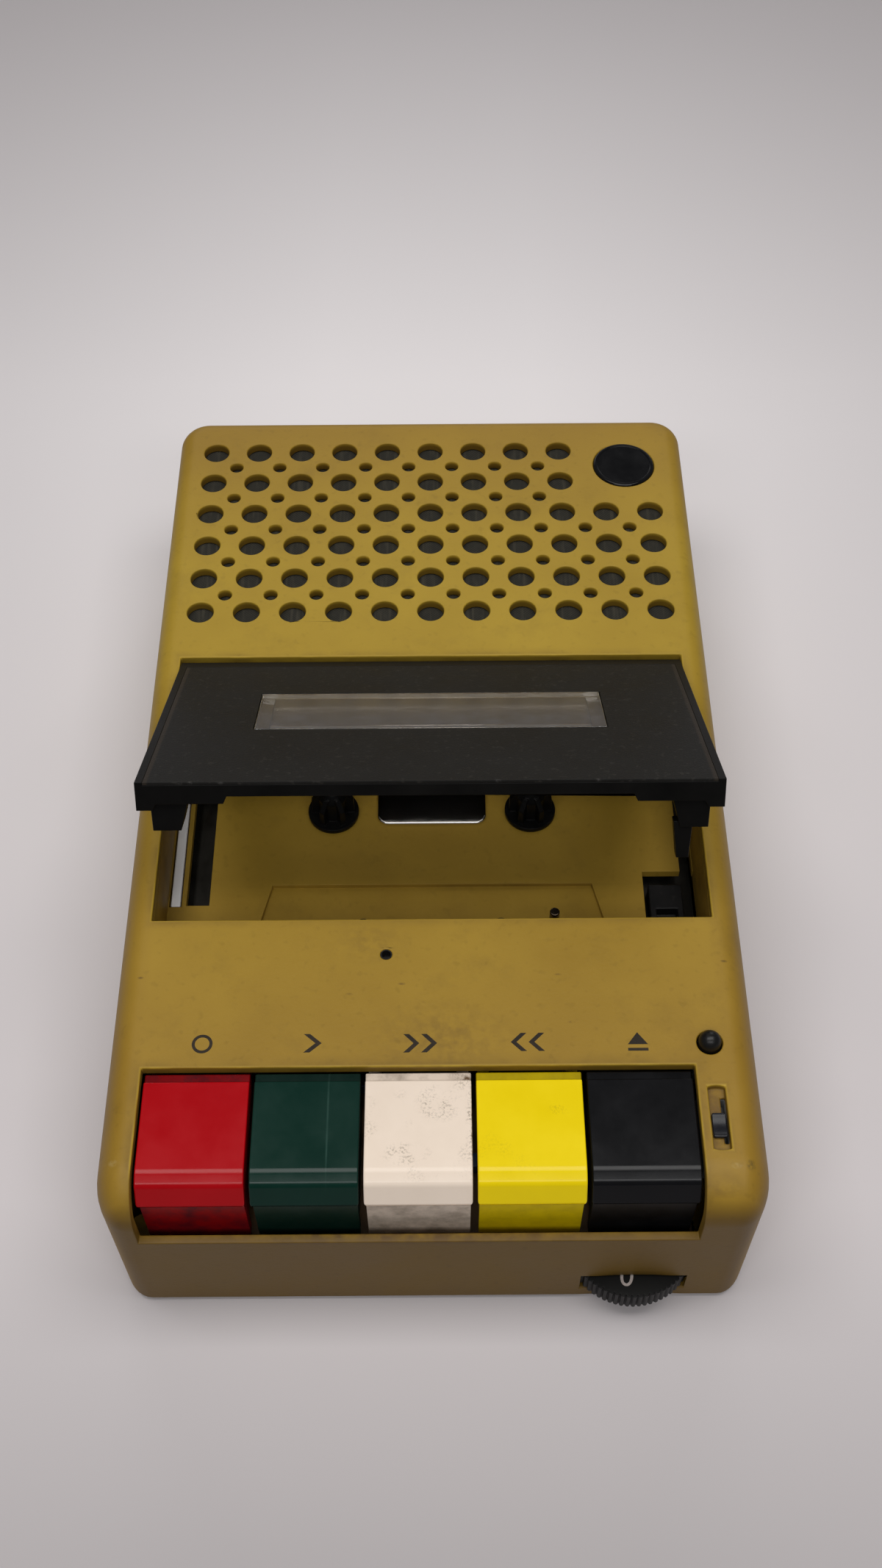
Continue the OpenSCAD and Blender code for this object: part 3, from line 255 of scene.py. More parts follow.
# Rim dirt: a band along the edge of a rectangle seen from above, broken up by noise, for grime and wear
rim_inputs = [("Place", "Vector"), ("Middle", "Vector"), ("Half", "Vector"), ("Reach", "Float")]
rim_group, given, result = new_group("rim_dirt", rim_inputs, ["Mask"])
away = vector_node(rim_group, "SUBTRACT", given["Place"], given["Middle"])["Vector"]
away = vector_node(rim_group, "ABSOLUTE", away)["Vector"]
away = vector_node(rim_group, "SUBTRACT", away, given["Half"])["Vector"]
split = add_node(rim_group, "SeparateXYZ", {}, {0: away})
edge = math_node(rim_group, "ABSOLUTE", math_node(rim_group, "MAXIMUM", split["X"], split["Y"]))
near = math_node(rim_group, "SUBTRACT", 1, math_node(rim_group, "DIVIDE", edge, given["Reach"]), clamp=True)
patch = spread(rim_group, noise(rim_group, given["Place"], 160, 4), 0.35, 0.7, 0.15, 1)
near = math_node(rim_group, "POWER", near, 1.6)
rim_group.links.new(math_node(rim_group, "MULTIPLY", near, patch), result["Mask"])

# Spot: a soft round patch, broken up by noise, for scuffs, stains and clusters of specks
spot_inputs = [("Place", "Vector"), ("Middle", "Vector"), ("Spread", "Vector"), ("Break", "Float")]
spot_group, given, result = new_group("spot", spot_inputs, ["Mask"])
away = vector_node(spot_group, "SUBTRACT", given["Place"], given["Middle"])["Vector"]
away = vector_node(spot_group, "DIVIDE", away, given["Spread"])["Vector"]
far = vector_node(spot_group, "LENGTH", away)["Value"]
near = spread(spot_group, far, 0.2, 1, 1, 0)
patch = spread(spot_group, noise(spot_group, given["Place"], given["Break"], 4), 0.38, 0.62, 0, 1)
spot_group.links.new(math_node(spot_group, "MULTIPLY", near, patch), result["Mask"])


def give_relief(tree, surface, height, strength, depth):
    bump = add_node(tree, "Bump", {}, {"Strength": strength, "Distance": depth, "Height": height})
    tree.links.new(bump["Normal"], surface.inputs["Normal"])


# Places where the mustard plastic is darker, cleaner or worn, each with the two ends of its fade. Towards the
# front, at the sides, inside the grille holes and on the front wall the darkening is painted shade; towards
# the back it is only darker.
front_fade = (-70 * mm, 30 * mm)
front_shade = (0.86, 0.785, 0.88)
side_fade = (54 * mm, 60 * mm)
side_end = (0, 40 * mm)
side_shade = (0.86, 0.82, 0.86)
back_fade = (55 * mm, 105 * mm)
back_shade = (0.8, 0.72, 0.8)
holes_side = (56 * mm, 57 * mm)
holes_front = (29 * mm, 30 * mm)
holes_back = (100 * mm, 101 * mm)
holes_top = (44 * mm, 44.7 * mm)
hole_shade = (0.55, 0.5, 0.5)
wall_fade = (-100.6 * mm, -98.4 * mm)
wall_shade = (0.5, 0.475, 0.54)
clean_fade = (-100.6 * mm, -98.8 * mm)
worn_fade = (44.2 * mm, 44.8 * mm)
grime_brown = (0.075, 0.042, 0.012)


def mustard_finish(name, light, dark, rims=(), worn=(), spots=(), grime=0.5):
    # Moulded mustard plastic: satin, faintly grained, uneven in tone, dirty along its rims and worn on edges,
    # with painted shade towards the front, at the sides, inside the grille holes and on the front wall
    finish, tree, surface, place = new_finish(name, Specular_IOR_Level=0.25)
    grain = use_group(tree, grain_group, Place=place, Grain=1500, Blotch=34)
    tone = mix_colour(tree, grain["Tone"], dark, light)
    speck = math_node(tree, "MULTIPLY", grain["Speck"], 0.16)
    tone = mix_colour(tree, speck, tone, [0.45 * c for c in dark])
    split = add_node(tree, "SeparateXYZ", {}, {0: place})
    aside = math_node(tree, "ABSOLUTE", split["X"])
    # Painted shade towards the front and at the sides
    tone = shade(tree, spread(tree, split["Y"], *front_fade, 1, 0), tone, front_shade)
    edge = spread(tree, aside, *side_fade, 0, 1)
    edge = math_node(tree, "MULTIPLY", edge, spread(tree, split["Y"], *side_end, 1, 0))
    tone = shade(tree, edge, tone, side_shade)
    tone = shade(tree, spread(tree, split["Y"], *back_fade, 0, 1), tone, back_shade)
    # Painted shade inside the grille holes
    inside = spread(tree, aside, *holes_side, 1, 0)
    inside = math_node(tree, "MULTIPLY", inside, spread(tree, split["Y"], *holes_front, 0, 1))
    inside = math_node(tree, "MULTIPLY", inside, spread(tree, split["Y"], *holes_back, 1, 0))
    inside = math_node(tree, "MULTIPLY", inside, spread(tree, split["Z"], *holes_top, 1, 0))
    tone = shade(tree, inside, tone, hole_shade)
    # Painted shade on the front wall and the sill
    tone = shade(tree, spread(tree, split["Y"], *wall_fade, 1, 0), tone, wall_shade)
    dirt = 0.0
    for middle, half, reach in rims:
        band = use_group(tree, rim_group, Place=place, Middle=middle, Half=half, Reach=reach)["Mask"]
        dirt = math_node(tree, "MAXIMUM", dirt, band)
    smear = spread(tree, noise(tree, place, 60, 6, 0.7), 0.55, 0.78, 0, 0.45)
    dirt = math_node(tree, "MULTIPLY", math_node(tree, "MAXIMUM", dirt, smear), grime, clamp=True)
    dirt = math_node(tree, "MULTIPLY", dirt, spread(tree, split["Y"], *clean_fade, 0.12, 1))
    tone = mix_colour(tree, dirt, tone, grime_brown)
    top = spread(tree, split["Z"], *worn_fade, 0, 1)
    for middle, half, reach in worn:
        band = use_group(tree, rim_group, Place=place, Middle=middle, Half=half, Reach=reach)["Mask"]
        tone = mix_colour(tree, math_node(tree, "MULTIPLY", band, top), tone, [1.5 * c for c in light])
    for middle, size, breaks, strength, colour in spots:
        patch = use_group(tree, spot_group, Place=place, Middle=middle, Spread=size, Break=breaks)["Mask"]
        tone = mix_colour(tree, math_node(tree, "MULTIPLY", patch, strength), tone, colour)
    tree.links.new(tone, surface.inputs["Base Color"])
    tree.links.new(spread(tree, grain["Tone"], 0, 1, 0.46, 0.56), surface.inputs["Roughness"])
    give_relief(tree, surface, grain["Height"], 0.22, 0.12 * mm)
    return finish


mustard_light = (0.372, 0.246, 0.024)
mustard_dark = (0.318, 0.204, 0.019)
mustard_under = mustard_finish("mustard_underside", mustard_light, mustard_dark, grime=0.4)
eased("bottom_cover", 0.25, mustard_under)
eased("battery_door", 0.25, mustard_under)

# Feet and case screws
# Four soft rubber feet are stuck under the corners, and four steel screws pull the cover against the
# bosses of the upper case.
rubber_dark = (0.008, 0.008, 0.008)
rubber_light = (0.018, 0.017, 0.016)


def grained_finish(name, dark, light, grain, blotch, rough, shine=0.5, skin=None, specks=None):
    # One plain stuff in blotches of two close tones. rough is one value, or the two ends of a range that
    # follows the blotches. skin is the strength and depth of its grain, specks are their share and colour.
    finish, tree, surface, place = new_finish(name, Specular_IOR_Level=shine)
    moulded = use_group(tree, grain_group, Place=place, Grain=grain, Blotch=blotch)
    tone = mix_colour(tree, moulded["Tone"], dark, light)
    if specks:
        share, colour = specks
        tone = mix_colour(tree, math_node(tree, "MULTIPLY", moulded["Speck"], share), tone, colour)
    tree.links.new(tone, surface.inputs["Base Color"])
    if isinstance(rough, tuple):
        tree.links.new(spread(tree, moulded["Tone"], 0, 1, *rough), surface.inputs["Roughness"])
    else:
        surface.inputs["Roughness"].default_value = rough
    if skin:
        give_relief(tree, surface, moulded["Height"], *skin)
    return finish


rubber = grained_finish("foot_rubber", rubber_dark, rubber_light, 2600, 120, 0.8, skin=(0.3, 0.1 * mm))
eased("rubber_feet", 0.4, rubber, steps=3)


def metal_finish(name, light, dark, rough, lines=(900, 900, 900), strength=0.08):
    # Metal with fine tool lines, which run along the axes with the smallest scale
    finish, tree, surface, place = new_finish(name, Metallic=1.0)
    scale = add_node(tree, "Mapping", {}, {"Vector": place, "Scale": lines})[0]
    marks = noise(tree, scale, 1, 3)
    slow = noise(tree, place, 90, 4)
    tree.links.new(mix_colour(tree, slow, dark, light), surface.inputs["Base Color"])
    tree.links.new(spread(tree, marks, 0.3, 0.7, 0.75 * rough, 1.3 * rough), surface.inputs["Roughness"])
    give_relief(tree, surface, marks, strength, 0.05 * mm)
    return finish


steel = metal_finish("bright_steel", (0.60, 0.59, 0.57), (0.45, 0.44, 0.42), 0.28)
eased("case_screws", 0.15, steel)

# Batteries
# Six dry cells in two rows lie in the battery box, with sprung tinned contacts at its ends.
cell_paper = grained_finish("cell_jacket", (0.50, 0.46, 0.36), (0.60, 0.56, 0.46), 900, 60, 0.4)
eased("battery_cells", 0.4, cell_paper)
eased("battery_contacts", 0.1, steel)

# Chassis
# A zinc plated steel plate carries the drive and the key shaft. Four screws hold it under the deck, and
# the shaft stands in its two upright ears with a return spring round it under each key.
rolled_lines = (300, 300, 300)
zinc = metal_finish("zinc_plate", (0.48, 0.47, 0.43), (0.36, 0.35, 0.32), 0.42, rolled_lines, 0.15)
dark_zinc = metal_finish("dark_zinc_plate", (0.075, 0.07, 0.06), (0.045, 0.042, 0.036), 0.5,
                         rolled_lines, 0.15)
eased("chassis_plate", 0.15, dark_zinc)
eased("chassis_screws", 0.1, steel)
eased("key_shaft", 0.2, steel)
eased("key_springs", 0.1, steel)

# Drive
# A small motor turns the flywheel by a rubber belt. The capstan is pressed in the flywheel and runs in a
# brass bush, and the two reel discs sit on the spindles under the chassis.
brass = metal_finish("turned_brass", (0.60, 0.42, 0.16), (0.46, 0.31, 0.11), 0.3, (80, 80, 2500))
eased("motor", 0.5, zinc)
eased("motor_pulley", 0.15, brass)
turned = metal_finish("turned_flywheel", (0.5, 0.5, 0.49), (0.4, 0.4, 0.39), 0.3)
eased("flywheel", 0.3, turned)
eased("drive_belt", 0.1, rubber)
eased("capstan_bush", 0.2, brass)
eased("spindle_bushes", 0.2, brass)
ground_lines = (200, 200, 4000)
# The capstan's steel is coloured dark brown, darker than bare steel.
dark_capstan_steel = metal_finish("dark_brown_steel", (0.11, 0.085, 0.06), (0.06, 0.045, 0.03), 0.25, ground_lines, 0.03)
eased("capstan", 0.25, dark_capstan_steel, steps=3)
black_moulded = grained_finish("black_moulding", (0.006, 0.006, 0.006), (0.013, 0.012, 0.012), 1800, 70,
                               (0.30, 0.46), 0.25, (0.12, 0.1 * mm), (0.1, (0.10, 0.09, 0.075)))
eased("left_reel_disc", 0.2, black_moulded)
eased("right_reel_disc", 0.2, black_moulded)

# Heads and pinch roller
# A sliding steel plate carries the playing head in its metal can, the smaller erase head, and the rubber
# pinch roller on its axle. The play key pushes it towards the tape.
polished = metal_finish("polished_steel", (0.72, 0.71, 0.70), (0.62, 0.61, 0.60), 0.12, ground_lines, 0.03)
eased("head_carriage", 0.15, zinc)
eased("play_head", 0.35, polished, steps=3)
eased("erase_head", 0.35, black_moulded, steps=3)
eased("pinch_axle", 0.15, steel)
eased("pinch_roller", 0.4, rubber, steps=3)

# Cassette deck
# The floor and walls of the cassette bay, one mustard moulding screwed to the chassis. Dust lies in its
# corners. Its mustard is painted lighter than the case's, as painted light in the shaded bay, and a painted
# shadow lies along the step in its floor. Two black pins locate the cassette, and a bright plate shines light
# up through the lid's window. The two spindles, the lid's pale rail, whose white is a painted reflection of
# the lamps on its metal edge, and its catch stand in the bay too.
# The deck's mustard is painted lighter than the case's, as painted light in the shaded bay
deck_lit_light = (0.41, 0.265, 0.031)
deck_lit_dark = (0.33, 0.208, 0.024)
deck_rims = [((0, -7 * mm, 0), (55.2 * mm, 34 * mm, 0), 7 * mm)]
# A painted shadow along the step in the deck's floor
deck_step_shadow = (0, -23.2 * mm, 28.8 * mm)
deck_shadow_spots = [(deck_step_shadow, (60 * mm, 1.0 * mm, 0.9 * mm), 20, 0.9, (0.07, 0.04, 0.008))]
mustard_deck_lit = mustard_finish("mustard_deck_lit", deck_lit_light, deck_lit_dark, deck_rims, (), deck_shadow_spots)
eased("cassette_deck", 0.25, mustard_deck_lit, merge=0.01)
eased("cassette_pins", 0.2, black_moulded)
chrome = metal_finish("bright_chrome", (0.80, 0.79, 0.78), (0.72, 0.71, 0.70), 0.07, (400, 400, 400), 0.02)
eased("reflector_plate", 0.45, chrome, steps=5)
spindle_black = grained_finish("spindle_plastic", (0.003, 0.003, 0.003), (0.006, 0.0058, 0.0055), 1500, 200,
                               (0.26, 0.40), 0.12)
eased("left_spindle", 0.2, spindle_black)
eased("right_spindle", 0.2, spindle_black)
# The rail's pale colour is a painted reflection: it stands for the gleam of the lamps on its metal top edge.
rail_painted_gleam = grained_finish("rail_gleam_white", (0.86, 0.84, 0.83), (0.93, 0.92, 0.91), 900, 120, 0.45, 0.4)
eased("lid_rail", 0.3, rail_painted_gleam, steps=3)
eased("lid_catch", 0.25, black_moulded)

# Speaker
# A pressed steel basket with its magnet and paper cone hangs under the grille.
paper = grained_finish("cone_paper", (0.018, 0.016, 0.014), (0.035, 0.031, 0.027), 700, 150, 0.85,
                       skin=(0.4, 0.2 * mm))
eased("speaker_frame", 0.2, zinc)
eased("speaker_magnet", 0.4, black_moulded)
eased("speaker_cone", 0.0, paper)

# Grille cloth
# A thin dark cloth is glued under the holes of the grille, stretched flat over the speaker's rim. It is a
# plain weave, a little slack, so it dips between the rows of holes.
cloth_low, cloth_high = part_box("grille_cloth")
cloth_w = cloth_high.x - cloth_low.x
cloth_l = cloth_high.y - cloth_low.y
cloth_mid = (cloth_low + cloth_high) / 2
cloth_sunk = 0.12 * mm
dip_depth = 0.05 * mm
dip_pitch = 302
bpy.ops.object.select_all(action="DESELECT")
bpy.ops.mesh.primitive_grid_add(x_subdivisions=110, y_subdivisions=64, size=1, location=(0, 0, 0))
cloth = bpy.context.object
cloth.name = "grille_cloth_weave"
cloth.scale = (cloth_w, cloth_l, 1)
cloth.location = (cloth_mid.x, cloth_mid.y, cloth_high.z - cloth_sunk)
bpy.ops.object.transform_apply(location=True, rotation=False, scale=True)
for point in cloth.data.vertices:
    slack = math.sin(point.co.x * dip_pitch) * math.sin(point.co.y * dip_pitch + 0.6)
    point.co.z += dip_depth * slack
weave_cloth, tree, surface, place = new_finish("grille_weave", Roughness=0.9)
thread = 2 * math.pi / (0.7 * mm)
split = add_node(tree, "SeparateXYZ", {}, {0: place})
warp = math_node(tree, "SINE", math_node(tree, "MULTIPLY", split["X"], thread))
weft = math_node(tree, "SINE", math_node(tree, "MULTIPLY", split["Y"], thread))
weave = math_node(tree, "MULTIPLY", math_node(tree, "ADD", math_node(tree, "MULTIPLY", warp, weft), 1), 0.5)
lift = math_node(tree, "MULTIPLY", weave, noise(tree, place, 800, 3))
slant = add_node(tree, "Mapping", {}, {"Vector": place, "Rotation": (0, 0, 0.9), "Scale": (1100, 90, 90)})[0]
streak = noise(tree, slant, 1, 2)
tone = mix_colour(tree, lift, (0.008, 0.0075, 0.005), (0.038, 0.034, 0.022))
tone = mix_colour(tree, spread(tree, streak, 0.5, 0.7, 0, 0.4), tone, (0.06, 0.053, 0.036))
tree.links.new(tone, surface.inputs["Base Color"])
give_relief(tree, surface, weave, 0.5, 0.2 * mm)
finish_piece(cloth, "root", weave_cloth)
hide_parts("grille_cloth")

# Electrics
# A brown paper board with its capacitors and coils, the volume control on it, the slide switch and the
# button's switch, and the two black sockets in the back wall.
board = grained_finish("board_paper", (0.14, 0.075, 0.025), (0.20, 0.11, 0.04), 600, 80, 0.5)
can_blue = grained_finish("can_sleeve", (0.03, 0.07, 0.16), (0.06, 0.11, 0.22), 900, 150, 0.35)
grey_moulded = grained_finish("grey_moulding", (0.16, 0.16, 0.155), (0.22, 0.22, 0.21), 1500, 90, 0.5)
eased("circuit_board", 0.1, board)
eased("board_parts", 0.3, can_blue)
eased("volume_pot", 0.2, grey_moulded)
eased("slide_switch", 0.2, grey_moulded)
eased("button_switch", 0.2, grey_moulded)
eased("din_socket", 0.25, black_moulded)
eased("power_socket", 0.25, black_moulded)

# Upper case
# One thick mustard moulding with domed front corners, the grille, and the openings for lid and keys. It is
# grimy along the openings, where fingers reach, pale on worn edges, and scuffed on the front shoulders, where
# the pale scuffs also hold a painted highlight. Painted shade darkens it towards the front and the sides,
# inside the grille holes, on the front wall and sill, in the knob's slot, and in the scoop round the volume
# wheel, which also holds a painted dark reflection of the wheel.
case_top = 45 * mm
key_bay = ((-2.65 * mm, -87 * mm, 0), (51.5 * mm, 13.9 * mm, 0))
lid_bay = ((0, -7 * mm, 0), (55.25 * mm, 34 * mm, 0))
slot_bay = ((52.3 * mm, -83.75 * mm, 0), (1.6 * mm, 6.3 * mm, 0))
case_rims = [(*key_bay, 3.2 * mm), (*lid_bay, 2.4 * mm), (*slot_bay, 1.2 * mm)]
case_worn = [(*key_bay, 0.5 * mm), (*lid_bay, 0.5 * mm), (*slot_bay, 0.55 * mm)]
hand_dirt_and_shade_brown = (0.13, 0.072, 0.016)
nick_and_shade_brown = (0.10, 0.055, 0.014)
pale_scuff_and_highlight = (0.52, 0.43, 0.22)
slot_floor = (52.3 * mm, -83.75 * mm, 43.4 * mm)
slot_shade_reach = (4.4 * mm, 25 * mm, 1.5 * mm)
case_spots = [
    ((2 * mm, -67 * mm, case_top), (17 * mm, 9 * mm, 9 * mm), 520, 0.34, hand_dirt_and_shade_brown),
    ((-12 * mm, -46 * mm, case_top), (9 * mm, 6 * mm, 6 * mm), 520, 0.25, hand_dirt_and_shade_brown),
    # Dirt on the sill below the keys, which is also painted shade under the key lips
    ((-2.6 * mm, -99.7 * mm, 29.8 * mm), (62 * mm, 3 * mm, 1.6 * mm), 300, 0.95, nick_and_shade_brown),
    # Painted shade and a painted dark reflection of the wheel in the scoop of the front wall round the volume
    # wheel
    ((38.4 * mm, -100.8 * mm, 5 * mm), (11.6 * mm, 3 * mm, 11 * mm), 15, 1.0, (0.06, 0.036, 0.008)),
    # Painted shade on the floor of the knob's slot, in the brown of the hand dirt
    (slot_floor, slot_shade_reach, 400, 0.9, hand_dirt_and_shade_brown),
    (slot_floor, slot_shade_reach, 130, 0.9, hand_dirt_and_shade_brown),
    # Pale scuffs on the left front shoulder, which also stand as a painted highlight where the shoulder
    # curves
    ((-56.8 * mm, -91.6 * mm, 43.5 * mm), (1.7 * mm, 1.4 * mm, 1.4 * mm), 1500, 0.8, pale_scuff_and_highlight),
    ((-56 * mm, -93.9 * mm, 42.5 * mm), (1.3 * mm, 1 * mm, 1 * mm), 1500, 0.8, pale_scuff_and_highlight),
    ((57 * mm, -92.9 * mm, 43 * mm), (1.1 * mm, 1.3 * mm, 4 * mm), 1700, 0.9, (0.03, 0.035, 0.02)),
    # A pale scuff on the right front shoulder, also a painted highlight
    ((54.5 * mm, -93 * mm, 44.2 * mm), (1.8 * mm, 0.9 * mm, 0.9 * mm), 1500, 0.6, pale_scuff_and_highlight),
]
nick_size = (0.9 * mm, 0.35 * mm, 0.6 * mm)
nicks = [(-5.8, -55.6), (-1.3, -59.6), (-15.8, -57.8), (-56.2, -53.9), (56.5, -51.1), (24.2, -53.8),
         (26.4, -64.1)]
for x, y in nicks:
    case_spots.append(((x * mm, y * mm, case_top), nick_size, 700, 0.8, nick_and_shade_brown))
mustard_case = mustard_finish("mustard_case", mustard_light, mustard_dark, case_rims, case_worn, case_spots)
eased("upper_case", 0.3, mustard_case, merge=0.03, clamp=False)

# Trim sleeve
# A small black plastic cup in the trimming hole of the top, pushed in from inside, which keeps the hole
# dark as painted shade. A screwdriver goes through it to the circuit board.
sleeve_x = -8.9 * mm
sleeve_y = -49 * mm
sleeve_r = 1.13 * mm
sleeve_top = 44.75 * mm
sleeve_h = 2.6 * mm
sleeve_wall = 0.22 * mm
sleeve_deep = 1.9 * mm
bpy.ops.object.select_all(action="DESELECT")
bpy.ops.mesh.primitive_cylinder_add(vertices=32, radius=sleeve_r, depth=sleeve_h,
                                    location=(sleeve_x, sleeve_y, sleeve_top - sleeve_h / 2))
shade_cup = bpy.context.object
shade_cup.name = "trim_hole_shade_cup"
bpy.ops.object.transform_apply(location=True, rotation=False, scale=False)
bpy.ops.object.mode_set(mode="EDIT")
bpy.ops.mesh.select_mode(type="FACE")
bpy.ops.mesh.select_all(action="DESELECT")
for face in bmesh.from_edit_mesh(shade_cup.data).faces:
    face.select_set(face.normal.z > 0.9)
bpy.ops.mesh.inset(thickness=sleeve_wall)
bpy.ops.mesh.extrude_region_move(TRANSFORM_OT_translate={"value": (0, 0, -sleeve_deep)})
bpy.ops.object.mode_set(mode="OBJECT")
finish_piece(shade_cup, "root", black_moulded, smooth=40)

# Printed marks
# Plain signs above the keys in dark brown ink, sunk in the plastic: a ring to record, arrow heads to play
# and wind, and a triangle over a bar to eject.
ink = grained_finish("mark_ink", (0.012, 0.008, 0.004), (0.028, 0.018, 0.009), 2500, 500, 0.55, 0.25)
mark_sunk = 0.25 * mm
mark_proud = 0.02 * mm
mark_stroke = 0.58 * mm


def thicken_mark(mark):
    bpy.ops.object.mode_set(mode="EDIT")
    bpy.ops.mesh.select_all(action="SELECT")
    bpy.ops.mesh.extrude_region_move(TRANSFORM_OT_translate={"value": (0, 0, mark_sunk + mark_proud)})
    bpy.ops.mesh.select_all(action="SELECT")
    bpy.ops.mesh.normals_make_consistent(inside=False)
    bpy.ops.object.mode_set(mode="OBJECT")
    finish_piece(mark, "root", ink, smooth=30)


def flat_mark(name, points):
    # A flat outline with the given corners in mm, drawn from a circle of as many points, and thickened
    bpy.ops.object.select_all(action="DESELECT")
    bpy.ops.mesh.primitive_circle_add(vertices=len(points), radius=mm, fill_type="NGON", location=(0, 0, 0))
    mark = bpy.context.object
    mark.name = name
    for vertex, (x, y) in zip(mark.data.vertices, points):
        vertex.co = (x * mm, y * mm, case_top - mark_sunk)
    thicken_mark(mark)


def arrow_head(name, x, y, width, height, turn):
    # Two strokes that meet in a point, on the right where turn is 1 and on the left where it is -1, in mm
    half = height / 2
    thick = turn * mark_stroke / mm * math.hypot(width, half) / half
    tail = x - turn * width / 2
    point = x + turn * width / 2
    flat_mark(name, [(tail, y + half), (point - thick, y), (tail, y - half),
                     (tail + thick, y - half), (point, y), (tail + thick, y + half)])


ring_place = (-43.15 * mm, -68.2 * mm, case_top - mark_sunk)
ring_r = 1.95 * mm
bpy.ops.object.select_all(action="DESELECT")
bpy.ops.mesh.primitive_circle_add(vertices=48, radius=ring_r, fill_type="NGON", location=(0, 0, 0))
ring = bpy.context.object
ring.name = "record_mark"
ring.location = ring_place
bpy.ops.object.transform_apply(location=True, rotation=False, scale=False)
bpy.ops.object.mode_set(mode="EDIT")
bpy.ops.mesh.select_all(action="SELECT")
bpy.ops.mesh.inset(thickness=mark_stroke)
bpy.ops.mesh.delete(type="FACE")
bpy.ops.object.mode_set(mode="OBJECT")
thicken_mark(ring)
arrow_head("play_mark", -22.45, -68.2, 3.4, 3.85, 1)
arrow_head("forward_mark_1", -3.95, -68.35, 3.0, 3.85, 1)
arrow_head("forward_mark_2", -0.6, -68.35, 3.0, 3.85, 1)
arrow_head("rewind_mark_1", 16.2, -68.25, 3.0, 3.8, -1)
arrow_head("rewind_mark_2", 19.55, -68.25, 3.0, 3.8, -1)
flat_mark("eject_mark_1", [(36.6, -68.9), (40.4, -68.9), (38.5, -66.4)])
flat_mark("eject_mark_2", [(36.6, -70.25), (40.4, -70.25), (40.4, -69.65), (36.6, -69.65)])

# Badge
# A bare black disc with a raised rim, pressed in a seat in the corner of the grille.
badge_black = grained_finish("badge_plastic", (0.003, 0.003, 0.0035), (0.006, 0.006, 0.0065), 1600, 250,
                             (0.07, 0.13), 0.25)
eased("round_badge", 0.12, badge_black)

# Lid
# A black plastic frame with a thin grained cover plate, and a clear bar set in it as the window. The lid
# turns on a steel pin through its barrel and two springs lift it.
lid_black = grained_finish("lid_moulding", (0.0025, 0.0024, 0.0023), (0.005, 0.0047, 0.0043), 1700, 60,
                           (0.34, 0.48), 0.1, (0.12, 0.1 * mm))
eased("lid_frame", 0.25, lid_black)
lid_low, lid_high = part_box("lid_plate")
chip_y = lid_low.y + 0.3 * mm
chip_z = lid_high.z - 0.2 * mm
chip_size = (0.6 * mm, 0.4 * mm, 0.5 * mm)
lid_edge_highlight = (52.4 * mm, 52.8 * mm)
lid_skin, tree, surface, place = new_finish("lid_plate_skin", Specular_IOR_Level=0.12)
grain = use_group(tree, grain_group, Place=place, Grain=2400, Blotch=70)
tone = mix_colour(tree, grain["Tone"], (0.006, 0.0058, 0.0054), (0.011, 0.0105, 0.0098))
tone = mix_colour(tree, math_node(tree, "MULTIPLY", grain["Speck"], 0.25), tone, (0.05, 0.046, 0.04))
aside = math_node(tree, "ABSOLUTE", add_node(tree, "SeparateXYZ", {}, {0: place})["X"])
# A painted highlight along the plate's side edges
tone = mix_colour(tree, spread(tree, aside, *lid_edge_highlight, 0, 0.8), tone, (0.026, 0.020, 0.015))
for x in (-46.4, -44.6, -38.9, 12.6, 31):
    chip_place = (x * mm, chip_y, chip_z)
    chip = use_group(tree, spot_group, Place=place, Middle=chip_place, Spread=chip_size, Break=1500)["Mask"]
    tone = mix_colour(tree, chip, tone, (0.06, 0.058, 0.055))
tree.links.new(tone, surface.inputs["Base Color"])
tree.links.new(spread(tree, grain["Tone"], 0, 1, 0.44, 0.58), surface.inputs["Roughness"])
give_relief(tree, surface, grain["Height"], 0.35, 0.12 * mm)
eased("lid_plate", 0.12, lid_skin)
clear, tree, surface, place = new_finish("clear_window", IOR=1.49, Transmission_Weight=0.93)
haze = noise(tree, place, 220, 5, 0.7)
tree.links.new(spread(tree, haze, 0.4, 0.75, 0.1, 0.24), surface.inputs["Roughness"])
tone = mix_colour(tree, haze, (0.53, 0.505, 0.475), (0.43, 0.405, 0.38))
tree.links.new(tone, surface.inputs["Base Color"])
eased("lid_window", 0.25, clear, steps=3)
eased("lid_hinge_pin", 0.2, steel)
eased("lid_springs", 0.1, steel)

# Keys
# Five glossy piano keys, each a moulded shell with a brow, a lip and a set-back face below it. Their arms
# swing on the shaft. The pale key is the dirtiest, and the green one has a long scratch.
key_low, key_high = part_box("key_play")
key_side = (key_high.x - key_low.x) / 2 - 0.2 * mm
step_top = key_high.z - 0.81 * mm
step_fade = (-75.6 * mm, -75.3 * mm)
cap_back = -73.5 * mm
lip_front = key_low.y + 0.4 * mm
lip_low = 38.45 * mm
lip_fade = (lip_low - 0.3 * mm, lip_low)
nose_fade = (-95.5 * mm, -93.5 * mm)
key_round = 0.28 * mm
outer_fold = math.radians(50)


